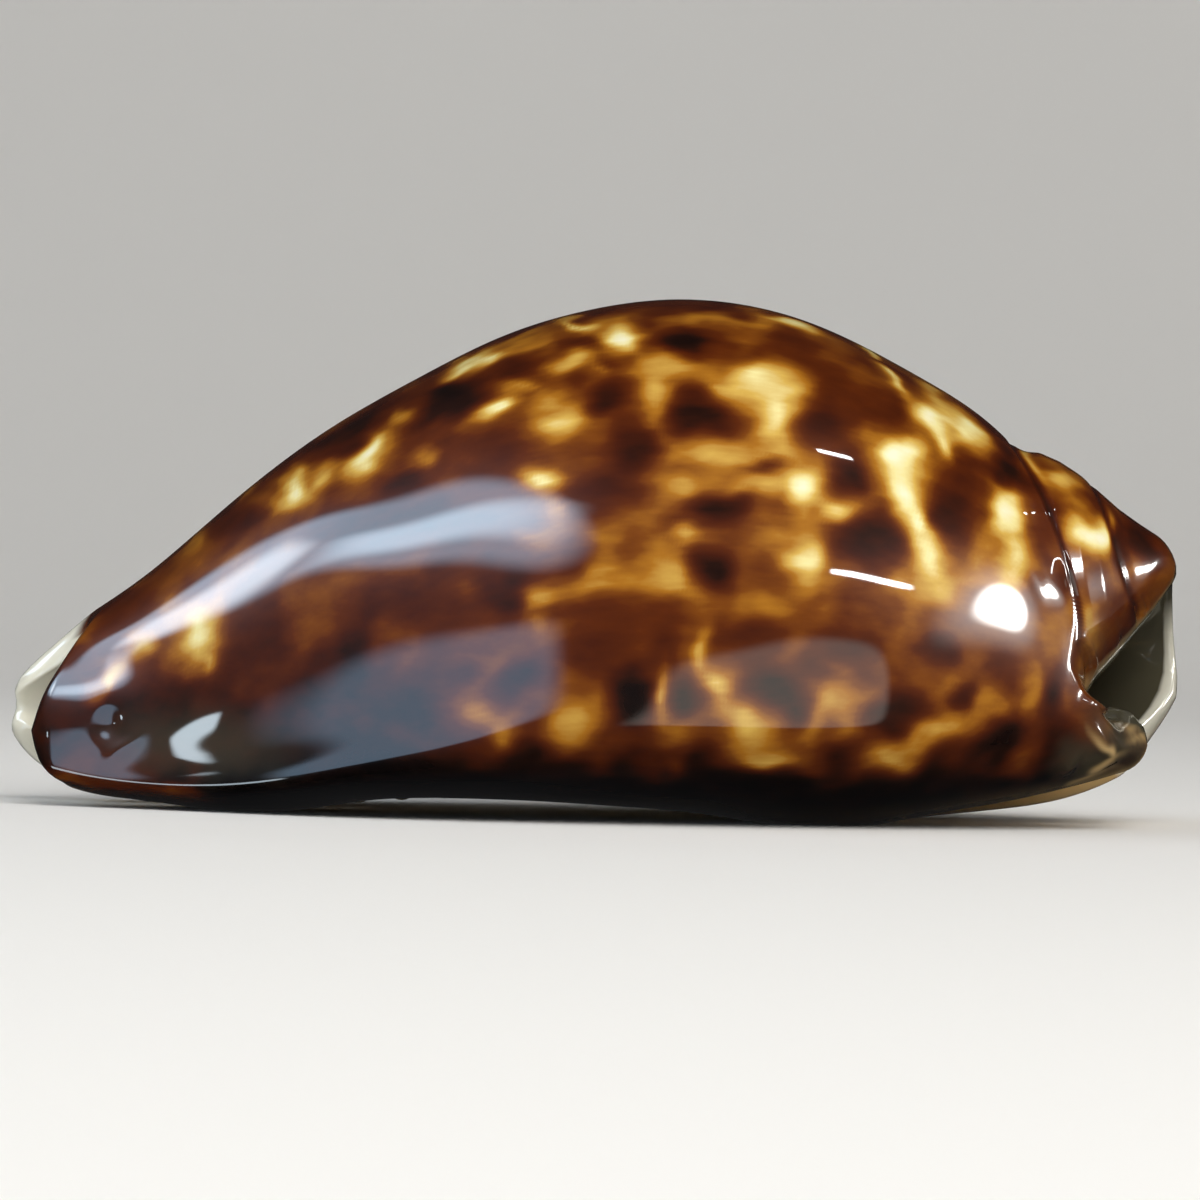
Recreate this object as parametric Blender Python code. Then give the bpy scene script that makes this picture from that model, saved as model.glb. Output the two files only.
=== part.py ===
"""Shell of a friend's cowry: one hollow coiled wall, open underneath along a narrow toothed slit.

The anterior end points to -X and the spire to +X. The outer lip is on the +Y side, the back is up,
and the base rests on Z = 0. The wall is lofted: stations along X give the measures of a C-shaped
section, and smooth curves run between them.
"""

import math

import bmesh
import bpy
import numpy as np

# Length of the shell, in metres. The tables below are drawn in millimetres on a shell of about 80 mm
LENGTH = 0.080

# Ridges of the lips, rims of the two canals, and the fold inside, in millimetres
TOOTH_COUNT = 21
LABRAL_TOOTH = 0.7
COLUMELLAR_TOOTH = 0.45
RIM_REACH = 1.6
RIM_FULLNESS = 0.75
TIP_REACH = 0.3
FOLD_LEAN = 0.24

# How far out the margins stand, as a share of the half width, at the front and behind, and where that fades
FLARE_FRONT, FLARE_REAR = 0.94, 0.86
FLARE_FADE = (-26.0, 4.0)

# Measures of the section at each station, one line for each place along X
FIELDS = ("place", "top", "crown", "left", "right", "edge_left", "edge_right",
          "margin_left", "margin_right", "base_left", "base_right", "slit", "gap",
          "wall_left", "wall_right", "floor", "roof", "fold")
STATIONS = np.array((
    (-40.5, 9.6, 0.9, 4.8, 5.6, 4.4, 4.6, 3.8, 3.6, 4.0, 3.5, 1.3, 1.7, 1.8, 1.8, 5.4, 7.6, 5.2),
    (-36.5, 12.0, 0.7, 6.6, 7.2, 3.8, 4.0, 2.1, 2.0, 1.6, 1.5, 1.2, 1.9, 2.6, 2.6, 4.4, 9.8, 4.2),
    (-30.5, 16.1, 0.4, 9.6, 10.2, 3.3, 3.6, 1.3, 1.3, 0.5, 0.4, 1.2, 1.9, 3.2, 3.2, 4.2, 13.4, 4.4),
    (-24.5, 21.6, 0.2, 13.2, 13.8, 3.9, 4.2, 1.2, 1.2, -0.15, -0.15, 1.5, 1.7, 3.0, 3.0, 4.4, 18.8, 7.0),
    (-16.5, 27.4, 0.0, 17.4, 17.7, 5.6, 6.0, 2.3, 2.2, 0.75, 0.65, 2.3, 1.5, 2.6, 2.6, 4.8, 24.9, 11.0),
    (-8.0, 32.2, -0.3, 20.2, 20.3, 7.6, 8.0, 3.0, 3.0, 1.2, 1.1, 3.1, 1.3, 2.3, 2.3, 5.4, 29.9, 13.5),
    (0.0, 34.8, -0.5, 21.4, 21.4, 9.0, 9.2, 3.4, 3.3, 1.0, 0.9, 3.6, 1.2, 2.3, 2.3, 5.6, 32.5, 14.5),
    (8.0, 35.25, -0.6, 21.5, 21.6, 9.7, 9.9, 3.6, 3.3, 0.4, 0.3, 3.7, 1.2, 2.3, 2.3, 5.6, 32.9, 14.5),
    (16.0, 33.15, -0.8, 20.4, 20.7, 10.2, 10.4, 3.6, 3.1, -0.15, -0.2, 3.2, 1.2, 2.6, 2.6, 5.6, 30.2, 13.0),
    (22.0, 30.2, -1.2, 18.2, 19.0, 10.2, 10.4, 3.9, 3.0, 0.75, 0.25, 2.3, 1.3, 3.2, 3.0, 5.8, 26.0, 10.0),
    (27.0, 26.7, -2.2, 15.7, 17.0, 9.8, 10.4, 4.3, 3.2, 1.7, 0.8, 1.3, 1.4, 4.4, 3.4, 6.0, 20.5, 7.5),
    (31.0, 22.8, -3.0, 13.2, 14.6, 9.0, 10.0, 4.7, 3.6, 2.7, 1.5, 0.4, 1.6, 6.0, 4.0, 6.2, 16.9, 6.4),
    (35.0, 20.1, -3.4, 9.4, 11.0, 7.6, 9.6, 5.1, 4.8, 3.9, 3.0, -0.4, 1.8, 6.0, 4.0, 6.8, 16.6, 6.6),
    (40.0, 18.2, -3.5, 5.0, 7.4, 6.9, 9.4, 6.0, 6.9, 5.6, 6.2, -1.0, 2.0, 0.8, 1.8, 8.0, 17.2, 7.8),
))

# Points round a section: the outer side from lip to lip, then the inner wall back
LIP_LEFT, CREST_LEFT, BASE_LEFT, MARGIN_LEFT, EDGE_LEFT, FLANK_LEFT, SHOULDER_LEFT = range(7)
CROWN = 7
SHOULDER_RIGHT, FLANK_RIGHT, EDGE_RIGHT, MARGIN_RIGHT, BASE_RIGHT, CREST_RIGHT, LIP_RIGHT = range(8, 15)
INNER_POINTS = range(15, 24)
SECTION_POINTS = 24
FIRST_TIP, LAST_TIP = -0.5, 14.5

# Inner places round the section and the outer places that they stand behind
INNER_PLACES = np.array((14.5, 15.0, 16.0, 17.0, 18.0, 19.0, 20.0, 21.0, 22.0, 23.0, 23.5))
OUTER_PLACES = np.array((14.5, 13.0, 11.3, 9.7, 8.3, 7.0, 6.0, 4.9, 3.6, 1.5, -0.5))

# Where the wall ends, as places round the outer side of the section and the X of the end there
ANTERIOR_END = np.array((
    (0.0, -35.0), (1.0, -35.4), (2.0, -35.9), (3.0, -36.5), (4.0, -36.9), (5.0, -36.8), (6.0, -35.0),
    (7.0, -34.3), (8.0, -38.5), (9.0, -39.2), (10.0, -39.1), (11.0, -38.5), (12.0, -37.4), (13.0, -36.4),
    (14.0, -35.9)))
POSTERIOR_END = np.array((
    (0.0, 34.7), (1.0, 35.5), (2.0, 36.0), (3.0, 35.6), (3.8, 34.2), (4.4, 31.6), (5.0, 33.4), (5.5, 35.6),
    (6.0, 37.0), (7.0, 38.0), (8.0, 38.6), (9.0, 38.9), (10.0, 38.9), (11.0, 37.7), (12.0, 36.4),
    (13.0, 35.6), (14.0, 35.1)))

# X of the outer suture, where the last whorl laps on the spire, at each outer point
SUTURE = (30.0, 30.0, 30.0, 30.0, 31.0, 32.1, 29.5, 27.6, 28.2, 29.4, 30.0, 30.0, 30.0, 30.0, 30.0)
INNER_SUTURE = (37.0, 37.0, 37.0, 37.0, 37.0, 36.8, 34.8, 33.0, 31.6, 30.8, 30.0, 30.0, 30.0, 30.0, 30.0)
SUTURE_FADES = (4.2, 5.0, 8.0, 8.7)
SUTURE_WIDTH = 0.45
SUTURE_DEPTH = 0.28
INNER_SUTURE_DEPTH = 0.2

# Soft swellings and hollows of the left side: X and Z of the middle, reach along X and Z, height
SWELLINGS = (
    (-34.4, 5.4, 3.4, 2.8, 0.45),
    (-33.0, 9.8, 4.2, 1.6, -0.5),
    (33.4, 7.6, 1.6, 2.0, 0.4),
)

# Rows that bend to the ends and to the suture, and rows that stay straight between them
ROW_KNOTS = (-36.0, -18.0, 14.0, 30.0, 36.0)

# Least length left behind the suture for the last rows
LAST_STRETCH = 2.4

# Spire: a blunt cone on a tilted axis, its radius given at depths under the apex
APEX = np.array((39.0, -3.5, 18.4))
SPIRE_TILT = math.radians(11.0)
SPIRE_DEPTHS = np.array((-1.0, 0.1, 0.83, 2.03, 3.14, 4.28, 5.41, 6.59, 7.83, 9.45, 12.0, 16.0))
SPIRE_RADII = np.array((0.0, 0.9, 1.8, 2.9, 4.0, 5.4, 6.8, 7.9, 8.7, 9.1, 8.8, 6.0))
SUTURE_BLEND = 1.6

# Columns of the loft: where each stretch round the section starts, and how many columns it has
OUTER_STRETCHES = ((-0.5, 4), (1.5, 5), (4.5, 13), (8.0, 8), (12.5, 5))
INNER_COLUMNS = 13
END_ROWS = 7
ROWS_PER_TOOTH = 4
RIM_ANGLES = tuple(math.radians(angle) for angle in (38.0, 70.0))

# Colour of the shell, its roughness and its metallic value
CHESTNUT = (0.25, 0.10, 0.03, 1.0)
GLOSS_ROUGHNESS = 0.12


def spline_values(places, knots, values):
    """Read a natural cubic curve through values at knots, at each of the given places."""
    steps = np.diff(knots)
    count = len(knots)
    system = np.eye(count)
    target = np.zeros(values.shape)
    for index in range(1, count - 1):
        before, after = steps[index - 1], steps[index]
        system[index, index - 1:index + 2] = before / 6.0, (before + after) / 3.0, after / 6.0
        rise = (values[index + 1] - values[index]) / after
        target[index] = rise - (values[index] - values[index - 1]) / before
    bends = np.linalg.solve(system, target)
    index = np.clip(np.searchsorted(knots, places) - 1, 0, count - 2)
    width = steps[index]
    right = (places - knots[index]) / width
    if values.ndim > 1:
        width, right = width[..., None], right[..., None]
    left = 1.0 - right
    bend = (left ** 3 - left) * bends[index] + (right ** 3 - right) * bends[index + 1]
    return left * values[index] + right * values[index + 1] + bend * width ** 2 / 6.0


def loop_weights(places):
    """Weights of the section's points at places round the closed section curve."""
    identity = np.eye(SECTION_POINTS)
    around = np.roll(identity, 1, axis=0) + np.roll(identity, -1, axis=0)
    bends = np.linalg.solve(4.0 * identity + around, 6.0 * (around - 2.0 * identity))
    base = np.floor(places).astype(int)
    right = (places - base)[:, None]
    left = 1.0 - right
    first, second = base % SECTION_POINTS, (base + 1) % SECTION_POINTS
    bend = (left ** 3 - left) * bends[first] + (right ** 3 - right) * bends[second]
    return left * identity[first] + right * identity[second] + bend / 6.0


def smooth_step(value, start, end):
    """Rise smoothly from 0 at start to 1 at end."""
    part = np.clip((value - start) / (end - start), 0.0, 1.0)
    return part * part * (3.0 - 2.0 * part)


def smooth_largest(first, second, width):
    """The larger of two values, rounded over the given width where they are near each other."""
    near = np.clip(1.0 - np.abs(first - second) / width, 0.0, 1.0)
    return np.maximum(first, second) + near * near * width * 0.25


def section_points(place):
    """Y and Z of the section's points at each place along X."""
    values = spline_values(place, STATIONS[:, 0], STATIONS[:, 1:])
    size = dict(zip(FIELDS[1:], np.moveaxis(values, -1, 0)))
    points = np.zeros(place.shape + (SECTION_POINTS, 2))

    def put(index, across, up):
        points[..., index, 0] = across
        points[..., index, 1] = up

    crown, top, slit, gap = size["crown"], size["top"], size["slit"], size["gap"]
    flare = FLARE_FRONT + (FLARE_REAR - FLARE_FRONT) * smooth_step(place, *FLARE_FADE)
    for side, way, edge, flank, shoulder, margin, base, crest, lip in (
            ("left", -1.0, EDGE_LEFT, FLANK_LEFT, SHOULDER_LEFT, MARGIN_LEFT, BASE_LEFT, CREST_LEFT,
             LIP_LEFT),
            ("right", 1.0, EDGE_RIGHT, FLANK_RIGHT, SHOULDER_RIGHT, MARGIN_RIGHT, BASE_RIGHT,
             CREST_RIGHT, LIP_RIGHT)):
        reach, height = size[side] * way, size["edge_" + side]
        put(edge, reach, height)
        for index, angle in ((flank, 27.0), (shoulder, 58.0)):
            turn = math.radians(angle)
            put(index, crown + (reach - crown) * math.cos(turn) ** 0.95,
                height + (top - height) * math.sin(turn) ** 0.97)
        lip_place, level = slit + gap * way, size["base_" + side]
        put(margin, reach * flare, size["margin_" + side])
        put(base, lip_place + (reach - lip_place) * 0.42, level)
        put(crest, lip_place + 1.3 * way, level + 0.15)
        put(lip, lip_place, level + 2.2)
    put(CROWN, crown, top)

    floor, roof, fold = size["floor"], size["roof"], size["fold"]
    right, left = size["right"] - size["wall_right"], size["left"] - size["wall_left"]
    middle, upper = floor + (roof - floor) * 0.35, floor + (roof - floor) * 0.82
    ridge = (crown + (right - left) * 0.5) * 0.5
    lip = slit - gap
    pocket = left + lip
    fold_place = lip - np.minimum(1.0, pocket * 0.2) + (fold - floor) * FOLD_LEAN
    corner = floor + 2.0 * np.clip(1.0 - pocket / 5.0, 0.0, 1.0)
    inner = ((slit + gap + 1.0, floor - 0.4), (slit + (right - slit) * 0.62, floor), (right, middle),
             (ridge + (right - ridge) * 0.68, upper), (ridge, roof),
             (ridge - (left + ridge) * 0.68, upper), (-left, middle),
             (lip - pocket * 0.55, corner), (fold_place, fold))
    for index, (across, up) in zip(INNER_POINTS, inner):
        put(index, across, up)
    return points


def partner_places(columns):
    """The outer place that each column stands at or behind."""
    return np.where(columns <= LAST_TIP, columns, np.interp(columns, INNER_PLACES, OUTER_PLACES))


def loft_rows():
    """Places of the loft's rows from end to end, with the tooth phase of each."""
    tooth_rows = TOOTH_COUNT * ROWS_PER_TOOTH
    count = tooth_rows + 2 * END_ROWS
    rows = np.linspace(0.0, 1.0, count + 1)
    phase = (np.arange(count + 1) - END_ROWS) / ROWS_PER_TOOTH
    return rows, phase


def loft_columns():
    """Places of the loft's columns round the section, closer together where the form is finer."""
    columns = []
    starts = [start for start, count in OUTER_STRETCHES] + [LAST_TIP]
    for (start, count), end in zip(OUTER_STRETCHES, starts[1:]):
        columns.extend(np.linspace(start, end, count, endpoint=False))
    columns.extend(np.linspace(LAST_TIP, INNER_PLACES[-1], INNER_COLUMNS, endpoint=False))
    return np.array(columns)


def lay_grid(rows, columns):
    """Lay the loft's points out: rows run along the shell, columns run round its section."""
    outer = partner_places(columns)
    knots = np.arange(LIP_RIGHT + 1.0)
    front = spline_values(outer, *ANTERIOR_END.T)
    rear = spline_values(outer, *POSTERIOR_END.T)
    suture = np.minimum(spline_values(outer, knots, np.array(SUTURE)), rear - LAST_STRETCH)
    centre = ROW_KNOTS[0] + (ROW_KNOTS[-1] - ROW_KNOTS[0]) * rows
    place = np.empty((len(rows), len(columns)))
    for index in range(len(columns)):
        bends = (front[index], ROW_KNOTS[1], ROW_KNOTS[2], suture[index], rear[index])
        place[:, index] = np.interp(centre, ROW_KNOTS, bends)
    across = np.einsum("ijkc,jk->ijc", section_points(place), loop_weights(columns))
    return np.concatenate((place[..., None], across), axis=-1)


def raise_spire(grid, columns):
    """Push the outer wall out to the spire's cone where the cone stands proud of it."""
    axis = np.array((math.cos(SPIRE_TILT), 0.0, math.sin(SPIRE_TILT)))
    offset = grid - APEX
    depth = -offset @ axis
    spoke = offset + depth[..., None] * axis
    radius = np.maximum(np.linalg.norm(spoke, axis=-1), 1e-6)
    target = np.interp(depth, SPIRE_DEPTHS, SPIRE_RADII)
    raised = smooth_largest(radius, target, SUTURE_BLEND)
    outer = (columns > CREST_LEFT) & (columns < CREST_RIGHT)
    behind = smooth_step(grid[..., 0], 24.0, 27.0)
    push = np.where(outer, (raised - radius) * behind, 0.0)
    return grid + spoke * (push / radius)[..., None]


def outward(grid):
    """Unit directions out of the wall at each point of the grid."""
    along = np.gradient(grid, axis=0)
    around = np.roll(grid, -1, axis=1) - np.roll(grid, 1, axis=1)
    normal = np.cross(around, along)
    return normal / np.maximum(np.linalg.norm(normal, axis=-1, keepdims=True), 1e-9)


def cut_teeth(grid, columns, phase):
    """Raise the ridges that cross the lips on both sides of the slit."""
    inside = (phase >= -0.5) & (phase <= TOOTH_COUNT + 0.5)
    ridge = np.where(inside, 0.5 + 0.5 * np.cos(2.0 * np.pi * phase), 0.0)[:, None]
    labral = smooth_step(columns, 13.1, 14.0) * (columns <= LAST_TIP)
    columellar = 1.0 - smooth_step(columns, 0.6, 1.6)
    front_only = 1.0 - 0.8 * smooth_step(phase, 5.0, 9.0)[:, None]
    height = ridge * (LABRAL_TOOTH * labral + COLUMELLAR_TOOTH * columellar * front_only)
    return grid + outward(grid) * height[..., None]


def press_sutures(grid, columns):
    """Press the two grooves where a whorl laps on the one before it."""
    knots = np.arange(LIP_RIGHT + 1.0)
    start, full, fade, end = SUTURE_FADES
    on_spire = smooth_step(columns, start, full) * (1.0 - smooth_step(columns, fade, end))
    depth = np.zeros(grid.shape[:2])
    for line, deepest in ((SUTURE, SUTURE_DEPTH), (INNER_SUTURE, INNER_SUTURE_DEPTH)):
        place = spline_values(partner_places(columns), knots, np.array(line))
        across = (grid[..., 0] - place) / SUTURE_WIDTH
        depth += deepest * np.exp(-across * across) * on_spire
    return grid - outward(grid) * depth[..., None]


def swell_left_side(grid, columns):
    """Raise the soft swellings, and press the hollows, of the side that the columella is on."""
    height = np.zeros(grid.shape[:2])
    for along, up, reach_along, reach_up, rise in SWELLINGS:
        far = ((grid[..., 0] - along) / reach_along) ** 2 + ((grid[..., 2] - up) / reach_up) ** 2
        height += rise * np.exp(-far)
    left = smooth_step(columns, MARGIN_LEFT - 1.0, MARGIN_LEFT) * (columns < CROWN)
    return grid + outward(grid) * (height * left)[..., None]


def round_rim(grid, columns, last):
    """Rings that round one end of the wall off, from the full wall to its middle."""
    ring, inside = (grid[-1], grid[-2]) if last else (grid[0], grid[1])
    outer = partner_places(columns)
    is_outer = columns <= LAST_TIP
    order = np.argsort(columns[is_outer])
    outer_ring, outer_place = ring[is_outer][order], columns[is_outer][order]
    tip = ring[np.argmin(np.abs(columns - LAST_TIP))]
    outer_ring, outer_place = np.vstack((outer_ring, tip)), np.append(outer_place, LAST_TIP)
    inner_ring = np.vstack((ring[~is_outer], ring[:1]))
    inner_place = np.append(outer[~is_outer], FIRST_TIP)
    middle = np.empty_like(ring)
    heading = np.empty_like(ring)
    step = ring - inside
    step /= np.linalg.norm(step, axis=-1, keepdims=True)
    step_outer = np.vstack((step[is_outer][order], step[np.argmin(np.abs(columns - LAST_TIP))]))
    for axis in range(3):
        near = np.interp(outer, outer_place, outer_ring[:, axis])
        far = np.interp(outer, inner_place[::-1], inner_ring[::-1, axis])
        middle[:, axis] = 0.5 * (near + far)
        heading[:, axis] = np.interp(outer, outer_place, step_outer[:, axis])
    half = ring - middle
    thickness = np.linalg.norm(half, axis=-1, keepdims=True)
    reach = np.minimum(RIM_REACH, TIP_REACH + thickness * RIM_FULLNESS)
    return [middle + half * math.cos(angle) + heading * reach * math.sin(angle) for angle in RIM_ANGLES]


def cap_faces(columns, first, flip):
    """Triangles that close the narrow C left inside the last ring of an end."""
    count = len(columns)
    split = int(np.argmax(columns >= LAST_TIP))
    outer = list(range(split + 1))
    inner = [0] + list(range(count - 1, split - 1, -1))
    places = partner_places(columns)
    places[0] = FIRST_TIP
    faces = []
    near, far = 0, 0
    while near < len(outer) - 1 or far < len(inner) - 1:
        step_near = far == len(inner) - 1 or (
            near < len(outer) - 1 and places[outer[near + 1]] <= places[inner[far + 1]])
        if step_near:
            face = (outer[near], outer[near + 1], inner[far])
            near += 1
        else:
            face = (outer[near], inner[far + 1], inner[far])
            far += 1
        if len(set(face)) == 3:
            faces.append(tuple(first + index for index in (face[::-1] if flip else face)))
    return faces


def side_faces(grid):
    """Two triangles for each cell of the grid, split along its shorter diagonal."""
    row_count, column_count = grid.shape[:2]
    after = np.roll(grid, -1, axis=1)
    falling = np.linalg.norm(grid[:-1] - after[1:], axis=-1)
    rising = np.linalg.norm(grid[1:] - after[:-1], axis=-1)
    faces = []
    for row in range(row_count - 1):
        for column in range(column_count):
            follower = (column + 1) % column_count
            here, there = row * column_count + column, row * column_count + follower
            above, beyond = here + column_count, there + column_count
            if falling[row, column] <= rising[row, column]:
                faces += [(here, beyond, there), (here, above, beyond)]
            else:
                faces += [(here, above, there), (there, above, beyond)]
    return faces


def settle(grid):
    """Flatten the spots that the shell rests on, centre it, and bring it to its real length."""
    grid[..., 2] = np.maximum(grid[..., 2], 0.0)
    low, high = grid.min(axis=(0, 1)), grid.max(axis=(0, 1))
    centre = (low + high) * (0.5, 0.5, 0.0)
    return (grid - centre) * (LENGTH / (high[0] - low[0]))


def shell_material():
    """Glossy chestnut of the back, as one colour."""
    material = bpy.data.materials.new("shell")
    material.use_nodes = True
    shader = material.node_tree.nodes["Principled BSDF"]
    shader.inputs["Base Color"].default_value = CHESTNUT
    shader.inputs["Roughness"].default_value = GLOSS_ROUGHNESS
    shader.inputs["Metallic"].default_value = 0.0
    return material


def build_shell():
    """Loft the wall, add its spire and teeth, close its ends and set it on its base."""
    rows, phase = loft_rows()
    columns = loft_columns()
    grid = lay_grid(rows, columns)
    grid = raise_spire(grid, columns)
    grid = press_sutures(grid, columns)
    grid = swell_left_side(grid, columns)
    grid = cut_teeth(grid, columns, phase)
    front = round_rim(grid, columns, last=False)
    rear = round_rim(grid, columns, last=True)
    grid = np.concatenate((np.array(front[::-1]), grid, np.array(rear)))
    grid = settle(grid)
    last_ring = (len(grid) - 1) * len(columns)
    faces = side_faces(grid)
    faces += cap_faces(columns, 0, flip=False)
    faces += cap_faces(columns, last_ring, flip=True)
    mesh = bpy.data.meshes.new("shell")
    mesh.from_pydata(grid.reshape(-1, 3).tolist(), [], faces)
    work = bmesh.new()
    work.from_mesh(mesh)
    bmesh.ops.recalc_face_normals(work, faces=work.faces)
    if work.calc_volume(signed=True) < 0.0:
        bmesh.ops.reverse_faces(work, faces=work.faces)
    work.to_mesh(mesh)
    work.free()
    mesh.materials.append(shell_material())
    shell = bpy.data.objects.new("shell", mesh)
    bpy.context.collection.objects.link(shell)
    return shell


def main():
    """Clear the scene and build the shell."""
    for item in list(bpy.data.objects):
        bpy.data.objects.remove(item, do_unlink=True)
    build_shell()


main()
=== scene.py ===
"""Looks of a friend's cowry shell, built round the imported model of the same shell.

The shell is one hollow coiled wall with a glassy enamel over soft tortoiseshell blotches. The wall
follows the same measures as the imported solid, laid out finely and dressed with what the solid leaves
out: sharp sutures, the folds of the callus, the dimple, fine ridges on the lips and the markings.

Lengths in the tables are millimetres on a shell of about 80 mm, with X towards the spire, Y towards the
outer lip and Z up through the back. A column is a place round the wall's section: 0 is the columellar
lip, 3 its margin, 7 the crown, 11 the labral margin, 14 the labral lip, and 15 to 23 the inner wall.
"""

import logging
import math
from dataclasses import dataclass, field
from enum import Enum

import bpy
import numpy as np
from mathutils import Matrix, Vector


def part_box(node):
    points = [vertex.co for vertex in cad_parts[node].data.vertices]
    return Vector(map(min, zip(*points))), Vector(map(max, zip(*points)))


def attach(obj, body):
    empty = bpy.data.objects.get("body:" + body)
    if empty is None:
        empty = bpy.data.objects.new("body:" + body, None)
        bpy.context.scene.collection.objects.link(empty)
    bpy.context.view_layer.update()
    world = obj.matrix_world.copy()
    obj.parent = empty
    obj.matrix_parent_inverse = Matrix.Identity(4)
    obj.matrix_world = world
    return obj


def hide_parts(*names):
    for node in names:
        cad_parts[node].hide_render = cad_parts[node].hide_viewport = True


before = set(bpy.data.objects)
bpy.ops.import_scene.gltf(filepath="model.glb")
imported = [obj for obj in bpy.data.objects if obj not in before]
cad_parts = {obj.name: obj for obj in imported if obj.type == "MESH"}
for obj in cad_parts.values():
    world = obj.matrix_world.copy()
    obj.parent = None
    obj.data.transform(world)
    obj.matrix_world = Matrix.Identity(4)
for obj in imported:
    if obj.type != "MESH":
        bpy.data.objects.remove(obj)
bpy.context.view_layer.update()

NODE = "shell"
BODY = "root"
MM = 0.001
LOG = logging.getLogger("cowry")

Array = np.ndarray
Table = tuple[tuple[float, ...], ...]
Colour = tuple[float, float, float]


class End(Enum):
    """The two ends of the shell."""

    ANTERIOR = "anterior"
    POSTERIOR = "posterior"


class Mark(Enum):
    """Per-point values that the enamel reads, by attribute name."""

    PIGMENT = "pigment"
    TAN = "tan"
    # Cream also carries a painted highlight along the rim of the posterior wing
    CREAM = "cream"
    SMOKE = "smoke"
    PHASE = "tooth_phase"
    LABRAL = "labral_lip"
    COLUMELLAR = "columellar_lip"


class LightUse(Enum):
    """What a light is for: to be mirrored in the gloss, or to light the colour."""

    GLOSS = "gloss"
    FILL = "fill"


def spline_values(places: Array, knots: Array, values: Array) -> Array:
    """Read a natural cubic curve through values at knots.

    Args:
        places: Where to read the curve.
        knots: Places of the values, rising.
        values: One value, or one row of values, for each knot.

    Returns:
        The curve's value, or row of values, at each place.
    """
    steps = np.diff(knots)
    count = len(knots)
    system = np.eye(count)
    target = np.zeros(values.shape)
    for index in range(1, count - 1):
        before, after = steps[index - 1], steps[index]
        system[index, index - 1:index + 2] = before / 6.0, (before + after) / 3.0, after / 6.0
        rise = (values[index + 1] - values[index]) / after
        target[index] = rise - (values[index] - values[index - 1]) / before
    bends = np.linalg.solve(system, target)
    index = np.clip(np.searchsorted(knots, places) - 1, 0, count - 2)
    width = steps[index]
    right = (places - knots[index]) / width
    if values.ndim > 1:
        width, right = width[..., None], right[..., None]
    left = 1.0 - right
    bend = (left ** 3 - left) * bends[index] + (right ** 3 - right) * bends[index + 1]
    return left * values[index] + right * values[index + 1] + bend * width ** 2 / 6.0


def smooth_step(value: Array, start: float, end: float) -> Array:
    """Rise smoothly from 0 at start to 1 at end."""
    part = np.clip((value - start) / (end - start), 0.0, 1.0)
    return part * part * (3.0 - 2.0 * part)


def band(value: Array, start: float, full: float, fade: float, end: float) -> Array:
    """Rise smoothly from 0 at start to 1 at full, and fall again from fade to end."""
    return smooth_step(value, start, full) * (1.0 - smooth_step(value, fade, end))


def smooth_largest(first: Array, second: Array, width: float) -> Array:
    """The larger of two values, rounded over the given width where they are near each other."""
    near = np.clip(1.0 - np.abs(first - second) / width, 0.0, 1.0)
    return np.maximum(first, second) + near * near * width * 0.25


def outward(grid: Array) -> Array:
    """Find the directions out of the wall.

    Args:
        grid: The wall's points, in rows along it and in columns that close in a loop.

    Returns:
        A unit direction at each point.
    """
    along = np.gradient(grid, axis=0)
    around = np.roll(grid, -1, axis=1) - np.roll(grid, 1, axis=1)
    normal = np.cross(along, around)
    return normal / np.maximum(np.linalg.norm(normal, axis=-1, keepdims=True), 1e-9)


def blend(first: Array, second: Array, share: Array) -> Array:
    """Pass from the first values to the second by a share of 0 to 1."""
    return first + (second - first) * share


@dataclass(frozen=True)
class Spot:
    """A soft ellipse with one value, placed as seen square on to the columellar side.

    The value is a height or a pigment. Core and end are the distances, in reaches, between which a dark
    spot's edge fades.
    """

    along: float
    up: float
    reach_along: float
    reach_up: float
    value: float
    turn: float = 0.0
    core: float = 0.16
    end: float = 1.6
    glow_below: float = 0.45

    def distance(self, points: Array) -> Array:
        """Measure how far points are from the middle.

        Args:
            points: The points, in millimetres.

        Returns:
            The distances, which are 1 on the ellipse itself.
        """
        cos, sin = math.cos(math.radians(self.turn)), math.sin(math.radians(self.turn))
        ahead, above = points[..., 0] - self.along, points[..., 2] - self.up
        return np.hypot((ahead * cos + above * sin) / self.reach_along,
                        (above * cos - ahead * sin) / self.reach_up)

    def glow(self, points: Array) -> Array:
        """Weights of 1 in the middle that fade like a glow."""
        return np.exp(-self.distance(points) ** 2)

    def cover(self, points: Array) -> Array:
        """Say how strongly it covers points: a light spot glows, a darker one has a core and an edge.

        Args:
            points: The points, in millimetres.

        Returns:
            Weights from 0 outside it to 1 in its middle.
        """
        if self.value < self.glow_below:
            return self.glow(points)
        return 1.0 - smooth_step(self.distance(points), self.core, self.end)


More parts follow.
